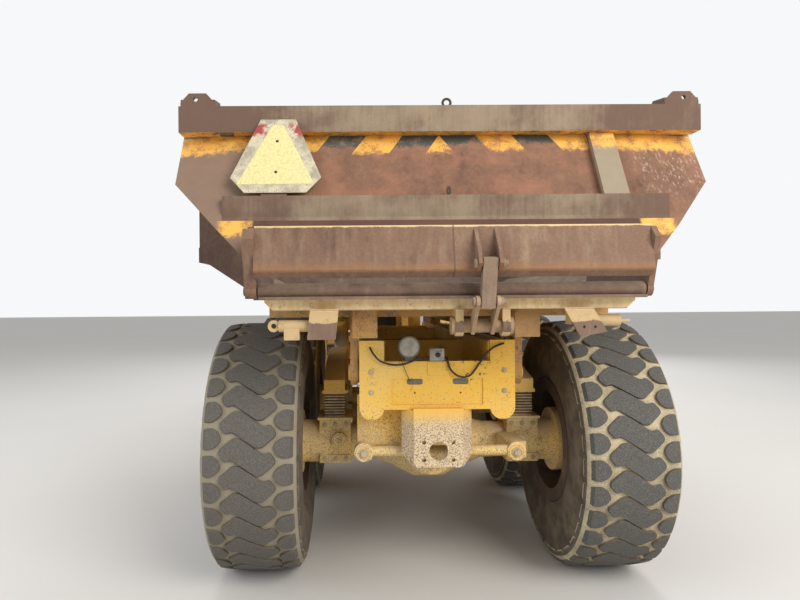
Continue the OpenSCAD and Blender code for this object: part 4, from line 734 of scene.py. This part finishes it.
# ---------------- rims and wheel nuts
# The rims are rolled and welded steel, brown with rust and road dirt, and each is held by a ring of
# nuts on studs.
NUTS, NUT_RING_R, NUT_FACE_OUT = 12, 0.214, 0.087
rim_steel = bare_steel("rusty_rim", (52, 42, 36), (92, 74, 60), (132, 108, 82), 0.8)
dress(rim_steel, *["rim_" + wheel[0] for wheel in WHEELS])
for wheel, side, wheel_y, turn, rubber in WHEELS:
    nuts = []
    for count in range(NUTS):
        angle = 2 * math.pi * count / NUTS
        at = (side * (TRACK_HALF + NUT_FACE_OUT), wheel_y + NUT_RING_R * math.cos(angle),
              TYRE_R + NUT_RING_R * math.sin(angle))
        nuts.append(add_bolt(at, (side, 0, 0), 0.019, 0.026))
    finish_piece("wheel_nuts_" + wheel, nuts, "wheel_" + wheel, rim_steel)


# ---------------- load body
# The load body is thick plate, scoured to brown steel inside by the loads, with yellow paint left on
# its outer sides between rust that runs down from the rails.
LOAD_MIDDLE = (0.0, LAST_AXLE_Y + 1.3, 2.25)


def body_plate():
    made, tree, place = new_material("load_body_plate")
    x, y, z = axes(place)
    from_middle = add_node(tree, "VectorMath", {0: place, 1: LOAD_MIDDLE}, operation="SUBTRACT")
    facing = add_node(tree, "VectorMath", {0: surface_normal(tree), 1: from_middle}, "Value",
                      operation="DOT_PRODUCT")
    outer_rail = ramp(abs(x), 1.284, 1.287)
    outside = greater(ramp(facing, -0.01, 0.01), outer_rail)
    ahead = ramp(y, LAST_AXLE_Y - 0.24, LAST_AXLE_Y - 0.2)
    skin = use_group(tree, old_rust, Scale=1.6)
    scoured = rust_tones(tree, (78, 62, 52), (122, 102, 88), (156, 140, 120), 1.2)
    island = use_group(tree, patches, Scale=1.7, Amount=0.52, Fleck=0.8)
    chip = use_group(tree, patches, Scale=9.0, Amount=0.42, Fleck=0.9)
    worn_off = greater(island["Mask"], chip["Mask"])
    painted = mix(worn_off, (206, 152, 62), skin["Color"])
    shell = mix(ahead, skin["Color"], painted)
    settled = use_group(tree, settled_dust, Amount=0.4, Low=1.2, High=1.9)
    final = mix(settled["Mask"], mix(outside, scoured["Color"], shell), (168, 146, 118))
    return coat(made, final, 0.8, bump(skin["Height"], 0.35))


dress(body_plate(), "dump_body")
# Under the load body the yellow is given darker, partly as dirt and partly as painted shade.
dirty_shaded_under_paint = yellow_paint("underframe_paint_dirt_and_shade", (184, 134, 62), (168, 130, 76), chips=0.34, rust=0.26,
                           dust=0.5, low=1.0, high=1.9)
dress(dirty_shaded_under_paint, "body_rails", "body_bearers")


# ---------------- lip beam
# The beam under the tail's lip is sun-bleached to cream, streaked from the lip above it, and the
# lower parts of the plates that hang from it are rubbed down to brown steel.
PLATE_FACE_Y = LAST_AXLE_Y - 1.020
PLATE_RUB_Z = 1.497


def bleached_beam():
    made, tree, place = new_material("bleached_beam")
    x, y, z = axes(place)
    streaks = noise(stretched(place, (40.0, 40.0, 14.0)), 1.0, 6.0, 0.75)
    fray = noise(place, 34.0, 5.0, 0.7)
    cream = mix(ramp(streaks, 0.34, 0.66), (234, 200, 142), (248, 224, 174))
    cream = mix(ramp(z, 1.549, 1.545), cream, (196, 168, 122))
    grubby = mix(ramp(fray, 0.54, 0.7) * 0.55, cream, (150, 118, 86))
    bottom = ramp(z + fray * 0.01, 1.562, 1.556)
    on_beam = ramp(z, 1.548, 1.549)
    stained = mix(bottom * on_beam * 0.7, grubby, (126, 92, 66))
    skin = rust_tones(tree, (84, 64, 54), (124, 98, 82), (150, 126, 102), 5.0)
    face = ramp(y, PLATE_FACE_Y + 0.003, PLATE_FACE_Y + 0.001)
    rubbed = ramp(z + (fray - 0.5) * 0.05, PLATE_RUB_Z, PLATE_RUB_Z - 0.004)
    return coat(made, mix(face * rubbed, stained, skin["Color"]), 0.7, bump(fray, 0.35, 0.003))


dress(bleached_beam(), "lip_beam")


# ---------------- tailgate
# The tailgate is plate between box rails. Its paint is worn to brown rust but for a band below the
# top rail, where black and yellow warning stripes are left, and for the rails' undersides.
GATE_TOP_Z = 2.441
PANEL_TOP_Y, PANEL_LEAN = LAST_AXLE_Y - 0.650, 0.545
STRIPE_STEP, STRIPE_SLANT, STRIPES_END = 0.372, 0.69, 0.60


def gate_plate():
    made, tree, place = new_material("gate_plate")
    x, y, z = axes(place)
    normal = axes(surface_normal(tree))
    across = abs(x)
    down = GATE_TOP_Z - z
    fray = noise(place, 26.0, 6.0, 0.75)
    broad = noise(place, 2.4, 3.0)
    ragged = (fray - 0.5) * 0.11 + (broad - 0.5) * 0.06
    # the stripes are black where the slanted distance from the middle is in the first half of a step
    slanted = across - down * STRIPE_SLANT
    step = (slanted / STRIPE_STEP).maths("FRACT")
    black = (step < 0.5) * (slanted < STRIPES_END) * (slanted > 0.0)
    on_panel = ramp(down, 0.0, 0.002) * ramp(normal[1], -0.5, -0.6)
    yellow_left = ramp(down + ragged, 0.108, 0.078) * on_panel
    black_left = ramp(down + ragged, 0.07, 0.05) * on_panel
    # yellow is also left in the panel's low corners and under the rails
    low_corner = ramp(z, 1.976, 1.972) * ramp(z - ragged, 1.885, 1.915)
    low_corner = low_corner * (ramp(across, 1.09, 1.05) * ramp(across, 0.905, 0.925))
    under_rail = ramp(normal[2], -0.8, -0.95) * ramp(fray, 0.62, 0.5)
    yellow_mask = greater(yellow_left, greater(low_corner, under_rail))
    skin = rust_tones(tree, (88, 62, 50), (134, 98, 77), (158, 124, 98), 1.5)
    pink = noise(place, 3.0, 5.0, 0.7)
    pinkish = mix(ramp(pink, 0.42, 0.68) * 0.7, skin["Color"], (162, 112, 86))
    # the panel's bent left wing is painted greyer and lighter, as light falls on it
    pinkish = mix(ramp(x + ragged, -0.88, -1.02) * 0.75, pinkish, (134, 114, 97))
    # rails and posts, which stand behind the panel, are rubbed to grey between brown ends
    behind = y - (PANEL_TOP_Y - down * PANEL_LEAN)
    below_face = ramp(across, 1.062, 1.06) * ramp(normal[1], 0.5, 0.3)
    mid_rail = below_face * (ramp(z, 1.973, 1.975) * ramp(z, 2.096, 2.094))
    on_rail = greater(ramp(behind, -0.012, -0.022), mid_rail)
    rubs = noise(stretched(place, (60.0, 60.0, 5.0)), 1.0, 6.0, 0.7)
    mottle = noise(place, 5.0, 6.0, 0.65)
    to_end = ramp(across, 0.5, 1.1) * 0.24
    rubbed = mottle * 0.7 + rubs * 0.3
    grey_share = ramp(rubbed - to_end, 0.26, 0.64)
    rail_skin = mix(grey_share, (108, 84, 70), (150, 133, 110))
    rail_skin = mix(ramp(fray, 0.6, 0.72) * 0.3, rail_skin, (96, 76, 64))
    post = ramp(x, 0.75, 0.758) * ramp(x, 0.888, 0.88)
    post = post * (ramp(z, 2.094, 2.098) * ramp(z, 2.44, 2.436))
    rail_skin = mix(post * 0.8, rail_skin, (160, 147, 124))
    # below the mid rail its shadow is painted on the panel as a dark band, and on the right the panel
    # is washed pale
    shade = below_face * (ramp(z, 1.975, 1.973) * ramp(z, 1.925, 1.945))
    pinkish = mix(shade * 0.72, pinkish, (70, 50, 40))
    washed = ramp(rubs, 0.52, 0.66) * (ramp(x, 0.93, 1.02) * ramp(z, 2.02, 2.22))
    pinkish = mix(washed * 0.65, pinkish, (206, 188, 162))
    rail_tone = mix(on_rail, pinkish, rail_skin)
    speck = use_group(tree, patches, Scale=14.0, Amount=0.40, Fleck=0.9)
    yellow_chipped = mix(speck["Mask"] * 0.75, (234, 178, 80), (156, 106, 72))
    with_yellow = mix(yellow_mask, rail_tone, yellow_chipped)
    black_worn = mix(speck["Mask"] * 0.8, (72, 78, 74), (150, 124, 104))
    band = mix(yellow_left, rail_tone, mix(black, yellow_chipped, black_worn))
    band_low = mix(black * yellow_left * (1.0 - black_left), band, rail_tone)
    final = mix(on_panel, with_yellow, mix(low_corner, band_low, yellow_chipped))
    return coat(made, final, 0.85 - yellow_mask * 0.25, bump(skin["Height"] + speck["Mask"], 0.35))


dress(gate_plate(), "tailgate")


# ---------------- slow-vehicle sign
# A pressed sheet-metal triangle with cut corners, screwed to the gate's left post. Its bright
# border has weathered to speckled grey and beige, with a little red left at the top corners.
SIGN_FOOT = Vector((-0.811, LAST_AXLE_Y - 0.888, 2.096))
SIGN_LEAN = math.atan(0.391)
SIGN_UP = Vector((0.0, math.sin(SIGN_LEAN), math.cos(SIGN_LEAN)))
SIGN_FACING = Vector((0.0, -math.cos(SIGN_LEAN), math.sin(SIGN_LEAN)))
SIGN_OUTLINE = [(-0.147, 0.013), (0.147, 0.013), (0.218, 0.096), (0.087, 0.434), (-0.087, 0.434),
                (-0.218, 0.096)]
SIGN_MIDDLE = [(-0.186, 0.058), (0.186, 0.058), (0.027, 0.398), (-0.027, 0.398)]


def sign_layer(name, outline, low_level, high_level, edge, material):
    """A flat sheet with this outline between two levels, set up against the gate."""
    layer = drawn_mesh(name, [(x, up, low_level) for x, up in outline], faces=[range(len(outline))])
    edit_all()
    bpy.ops.mesh.extrude_region_move(TRANSFORM_OT_translate={"value": (0, 0, high_level - low_level)})
    bpy.ops.mesh.inset(thickness=edge, depth=edge * 0.5)
    stop_editing()
    lean = Matrix(((1, 0, 0), (0, SIGN_UP.y, -SIGN_UP.z), (0, SIGN_UP.z, SIGN_UP.y)))
    layer.matrix_world = Matrix.Translation(SIGN_FOOT) @ lean.to_4x4()
    finish_piece(name, [layer], "tailgate", material, 20)


def sign_border():
    made, tree, place = new_material("weathered_sign_border")
    x, y, z = axes(place)
    speck = noise(place, 190.0, 3.0, 0.7)
    cloud = noise(place, 18.0, 4.0)
    base = mix(ramp(cloud, 0.36, 0.64), (206, 196, 168), (166, 158, 138))
    base = mix(ramp(speck, 0.55, 0.64), base, (126, 116, 98))
    off_middle = abs(x - SIGN_FOOT.x)
    red = ramp(off_middle, 0.045, 0.06) * ramp(z, 2.385, 2.425) * ramp(z, 2.485, 2.465)
    red = red * ramp(cloud + speck * 0.5, 0.62, 0.76)
    return coat(made, mix(red, base, (158, 62, 64)), 0.65, bump(speck, 0.3, 0.002))


def sign_field():
    made, tree, place = new_material("faded_sign_field")
    speck = noise(place, 90.0, 4.0, 0.7)
    scratch = noise(stretched(place, (60.0, 4.0, 8.0), turn=(0.0, 0.6, 0.0)), 1.0, 4.0)
    base = mix(ramp(speck, 0.4, 0.66), (226, 216, 154), (208, 196, 140))
    tint = mix(ramp(scratch, 0.66, 0.76) * 0.6, base, (188, 170, 116))
    return coat(made, tint, 0.5, bump(speck, 0.15, 0.001))


sign_layer("sign_plate", SIGN_OUTLINE, 0.0, 0.0025, 0.003, sign_border())
sign_layer("sign_triangle", SIGN_MIDDLE, 0.0035, 0.0050, 0.002, sign_field())
sign_screws = [add_bolt(SIGN_FOOT + SIGN_UP * up + SIGN_FACING * 0.0055, SIGN_FACING, 0.005, 0.003)
               for up in (0.125, 0.302)]
finish_piece("sign_screws", sign_screws, "tailgate",
             bare_steel("rusty_screws", (40, 34, 30), (70, 56, 46), (96, 78, 62), 0.8))


# ---------------- gate rings and clip
# A lifting ring on the top rail, a bent eye on the mid rail and a clip under the left end of the
# top rail are bent from bar and welded on, black with rust.
RAIL_TOP_Z = 2.572
RING_Y = LAST_AXLE_Y - 0.680
EYE_X, EYE_Y = 0.016, LAST_AXLE_Y - 0.868
gate_rings = [
    add_ring((0.037, RING_Y, RAIL_TOP_Z + 0.025), BEHIND, 0.020, 0.0065),
    add_block((0.017, RING_Y - 0.010, RAIL_TOP_Z - 0.001), (0.057, RING_Y + 0.010, RAIL_TOP_Z + 0.008)),
    add_block((-1.108, LAST_AXLE_Y - 0.720, 2.427), (-1.040, LAST_AXLE_Y - 0.690, 2.4405), 0.005),
    add_ring((EYE_X, EYE_Y, 2.106), BEHIND, 0.007, 0.005)]
edit_all()
bpy.ops.transform.resize(value=(1.0, 1.0, 1.9), center_override=(EYE_X, EYE_Y, 2.094))
stop_editing()
finish_piece("gate_rings", gate_rings, "tailgate",
             bare_steel("rusty_bar", (44, 38, 34), (78, 62, 52), (112, 92, 76), 0.8))


# ---------------- tail flap
# The flap, its arms and its link are bare plate, bent and welded, evenly brown and rubbed paler along
# the bends, with a highlight painted along the flap's top edge. It hangs below the gate, and a bleached
# fork on its shaft turns it.
FLAP_TOP_Z = 1.926
FLAP_BEND_Z = 1.729


def flap_plate():
    made, tree, place = new_material("flap_plate")
    x, y, z = axes(place)
    fray = noise(place, 22.0, 6.0, 0.75)
    dents = noise(place, 2.6, 1.0)
    skin = rust_tones(tree, (84, 60, 48), (130, 100, 80), (158, 130, 102), 2.2)
    foot = z + (fray - 0.5) * 0.08
    at_bend = (ramp(foot, FLAP_BEND_Z + 0.04, FLAP_BEND_Z + 0.01)
               * ramp(z, FLAP_BEND_Z - 0.016, FLAP_BEND_Z - 0.006))
    on_plate = ramp(abs(x), 0.876, 0.874)
    wash = noise(stretched(place, (22.0, 22.0, 3.0)), 1.0, 5.0, 0.6)
    washed = mix(ramp(wash, 0.46, 0.74) * 0.3, skin["Color"], (162, 142, 116))
    warm = mix(at_bend * on_plate * 0.5, washed, (150, 104, 64))
    # a pale line is painted along the flap's top edge as its highlight
    rim = ramp(z + (fray - 0.5) * 0.02, FLAP_TOP_Z - 0.01, FLAP_TOP_Z - 0.004) * 0.9
    with_top_highlight = mix(rim, warm, (222, 196, 142))
    seam = ramp(abs(x), 0.0045, 0.002)
    ridge = bump(seam, 0.7, 0.003, under=bump(skin["Height"], 0.3, 0.003))
    return coat(made, mix(seam * 0.6, with_top_highlight, (82, 62, 52)), 0.78, bump(dents, 0.8, 0.05, under=ridge))


dress(flap_plate(), "flap")
dress(bare_steel("link_steel", (104, 84, 70), (146, 122, 102), (174, 152, 126), 0.75), "flap_link")
dress(bare_steel("fork_steel", (116, 92, 72), (170, 142, 108), (206, 176, 136), 0.75), "flap_shaft")


# ---------------- hoist and steering cylinders
# The barrels are painted tube and the rods are ground and plated steel, dusty outside the seals.
# Each cylinder is held by a pin through the eye at either end.
dress(frame_paint, "hoist_barrels")


def plated_rod():
    made, tree, place = new_material("plated_rod")
    film = noise(place, 30.0, 4.0)
    tint = mix(ramp(film, 0.4, 0.8), (196, 194, 188), (160, 152, 138))
    return coat(made, tint, 0.2 + film * 0.3, metallic=1.0)


dress(plated_rod(), "hoist_rods", "steer_rod_left", "steer_rod_right")
black_paint = bare_steel("black_paint", (30, 29, 27), (48, 46, 43), (78, 72, 64), 0.6)
dress(black_paint, "steer_barrel_left", "steer_barrel_right", "grille")


# ---------------- front unit
# The front unit keeps more of its paint than the tail: faded yellow, dusty below, with rust
# starting along the seams.
cab_paint = yellow_paint("cab_paint", (222, 168, 62), (212, 172, 92), chips=0.34, rust=0.22, dust=0.6,
                         low=0.5, high=1.6)
dress(cab_paint, "front_frame", "front_axle", "fenders", "cab_shell", "hood", "door", "side_tank")
dress(bare_steel("engine_iron", (48, 46, 42), (84, 80, 72), (112, 106, 94), 0.6, 0.2), "engine")
dress(bare_steel("rusty_stack", (64, 46, 38), (108, 78, 60), (138, 106, 82), 0.8), "exhaust")


def moulded_black():
    made, tree, place = new_material("moulded_black")
    pebble = add_node(tree, "TexVoronoi", {"Vector": place, "Scale": 260.0}, "Distance")
    fade = noise(place, 6.0, 3.0)
    tint = mix(ramp(fade, 0.35, 0.75), (44, 44, 44), (70, 68, 66))
    return coat(made, tint, 0.6, bump(pebble, 0.2, 0.001))


dress(moulded_black(), "cab_interior", "mirrors")


def pane_glass():
    made, tree, place = new_material("pane_glass")
    shader = tree.nodes["Principled BSDF"]
    shader.inputs["Transmission Weight"].default_value = 1.0
    shader.inputs["IOR"].default_value = 1.1
    return coat(made, colour(206, 220, 220), 0.03 + noise(place, 5.0, 5.0) * 0.12)


dress(pane_glass(), "cab_glass", "door_glass")


def lamp_glass():
    made, tree, place = new_material("lamp_glass")
    ribs = add_node(tree, "TexWave", {"Vector": place, "Scale": 60.0, "Distortion": 1.0}, 1,
                    bands_direction="X")
    return coat(made, mix(ribs, (206, 200, 184), (232, 228, 214)), 0.25, bump(ribs, 0.25, 0.002))


dress(lamp_glass(), "headlamps")


# ---------------- fittings of the cab and hood
# Rubber seals hold the panes, and a wiper lies on the windscreen. The door's handle, the hood's
# latches and the headlamps' bezels are bolted-on black steel.
CAB_MIDDLE = Vector((0.0, 2.4, 2.4))


def pane_outlines(name):
    """The outer rim of each pane of this node, as a loop of points, and the way the pane faces."""
    panes = bmesh.new()
    panes.from_mesh(nodes[name].data)
    panes.transform(nodes[name].matrix_world)
    bmesh.ops.dissolve_limit(panes, angle_limit=math.radians(2), verts=panes.verts, edges=panes.edges)
    rims = [([v.co + face.normal * 0.002 for v in face.verts], face.normal.copy())
            for face in panes.faces
            if face.calc_area() > 0.1 and (face.calc_center_median() - CAB_MIDDLE).dot(face.normal) > 0]
    panes.free()
    return rims


def draw_bar(points, thick, closed=False):
    select_only(draw_line("bar", points, thick, closed))
    bpy.ops.object.convert(target="MESH")
    return bpy.context.object


seal_rubber = bare_steel("seal_rubber", (22, 22, 22), (36, 35, 34), (62, 58, 52), 0.7)
for name, body in (("cab_glass", "front_unit"), ("door_glass", "door")):
    seals = [draw_bar(points, 0.034, closed=True) for points, normal in pane_outlines(name)]
    finish_piece("seals_of_" + name, seals, body, seal_rubber)

screen, screen_normal = max(pane_outlines("cab_glass"), key=lambda pane: pane[1].y)
screen_right = Vector((1, 0, 0))
screen_up = screen_normal.cross(screen_right).normalized()
screen_up = screen_up if screen_up.z > 0 else -screen_up
corner = min(screen, key=lambda point: point.z)
middle_foot = corner - screen_right * corner.x


def on_screen(x, up, off):
    return middle_foot + screen_right * x + screen_up * up + screen_normal * off


wiper = [draw_bar([on_screen(0.02, -0.035, 0.004), on_screen(0.02, -0.030, 0.028),
                   on_screen(0.16, 0.30, 0.026)], 0.010),
         draw_bar([on_screen(0.03, 0.12, 0.013), on_screen(0.29, 0.50, 0.013)], 0.012),
         add_bolt(on_screen(0.02, -0.035, 0.000), screen_normal, 0.014, 0.014)]
finish_piece("wiper", wiper, "front_unit", black_paint)

bezels = [add_ring((x, 4.4398, 0.780), (0, 1, 0), 0.0765, 0.0045) for x in (-0.76, 0.76)]
finish_piece("headlamp_bezels", bezels, "front_unit", black_paint)

latches = []
for side in (-1, 1):
    near, far = sorted((side * 0.636, side * 0.652))
    latches.append(add_block((near, 3.985, 1.235), (far, 4.030, 1.330), 0.004))
    latches.append(add_bolt((side * 0.650, 4.0075, 1.300), (side, 0, 0), 0.007, 0.006))
finish_piece("hood_latches", latches, "hood", black_paint)

GRIP_Z = 2.020
grip = [(-0.800, 1.870), (-0.832, 1.874), (-0.838, 1.886), (-0.838, 1.976), (-0.832, 1.988),
        (-0.800, 1.992)]
handle = [draw_bar([(x, y, GRIP_Z) for x, y in grip], 0.014),
          add_block((-0.806, 1.856, 1.992), (-0.798, 2.006, 2.048), 0.002)]
finish_piece("door_handle", handle, "door", black_paint)


# ---------------- studio
# A pale seamless floor and four large soft lamps in a white world, which the camera, glass and
# polished metal see brighter than it shines.
def pale_floor():
    made, tree, place = new_material("pale_floor")
    tint = colour(214, 212, 208)
    darker = tuple(c * 0.97 for c in tint[:3]) + (1.0,)
    return coat(made, mix(ramp(noise(place, 0.4, 2.0), 0.2, 0.8), tint, darker), 0.9)


bpy.ops.object.select_all(action="DESELECT")
bpy.ops.mesh.primitive_plane_add(size=120.0, location=(0, 0, -0.001))
floor = bpy.context.object
floor.name = floor.data.name = "floor"
floor.data.materials.append(pale_floor())

world = bpy.data.worlds.new("studio")
bpy.context.scene.world = world
world.use_nodes = True
sky = world.node_tree
sky.nodes.clear()
lit = add_node(sky, "Background", {"Color": (1.0, 1.0, 1.0, 1.0), "Strength": 0.55})
seen = add_node(sky, "Background", {"Color": (0.93, 0.94, 0.95, 1.0), "Strength": 1.0})
camera_ray, glossy_ray, glass_ray = [add_node(sky, "LightPath", output="Is %s Ray" % kind)
                                     for kind in ("Camera", "Glossy", "Transmission")]
straight = greater(camera_ray, greater(glossy_ray, glass_ray))
mixed = add_node(sky, "MixShader", {0: straight, 1: lit, 2: seen})
wire(mixed, sky.nodes.new("ShaderNodeOutputWorld").inputs[0])

LAMPS_AIM = Vector((0, -1.0, 1.0))
LAMPS = [
    ("key", (4.5, -9.5, 5.5), 5.0, 620.0, (1.0, 0.97, 0.92)),
    ("fill", (-7.5, -7.0, 4.5), 6.0, 260.0, (0.94, 0.97, 1.0)),
    ("top", (0.0, 1.5, 9.0), 8.0, 420.0, (1.0, 1.0, 1.0)),
    ("front", (3.0, 10.0, 5.0), 6.0, 380.0, (1.0, 1.0, 1.0))]
for name, at, size, power, tint in LAMPS:
    lamp_data = bpy.data.lights.new(name, "AREA")
    lamp_data.shape, lamp_data.size, lamp_data.energy, lamp_data.color = "SQUARE", size, power, tint
    lamp = new_object(name, lamp_data)
    lamp.location = at
    lamp.rotation_mode = "QUATERNION"
    lamp.rotation_quaternion = (LAMPS_AIM - Vector(at)).to_track_quat("-Z", "Y")
bpy.context.scene.view_settings.view_transform = "Standard"

bpy.context.view_layer.update()
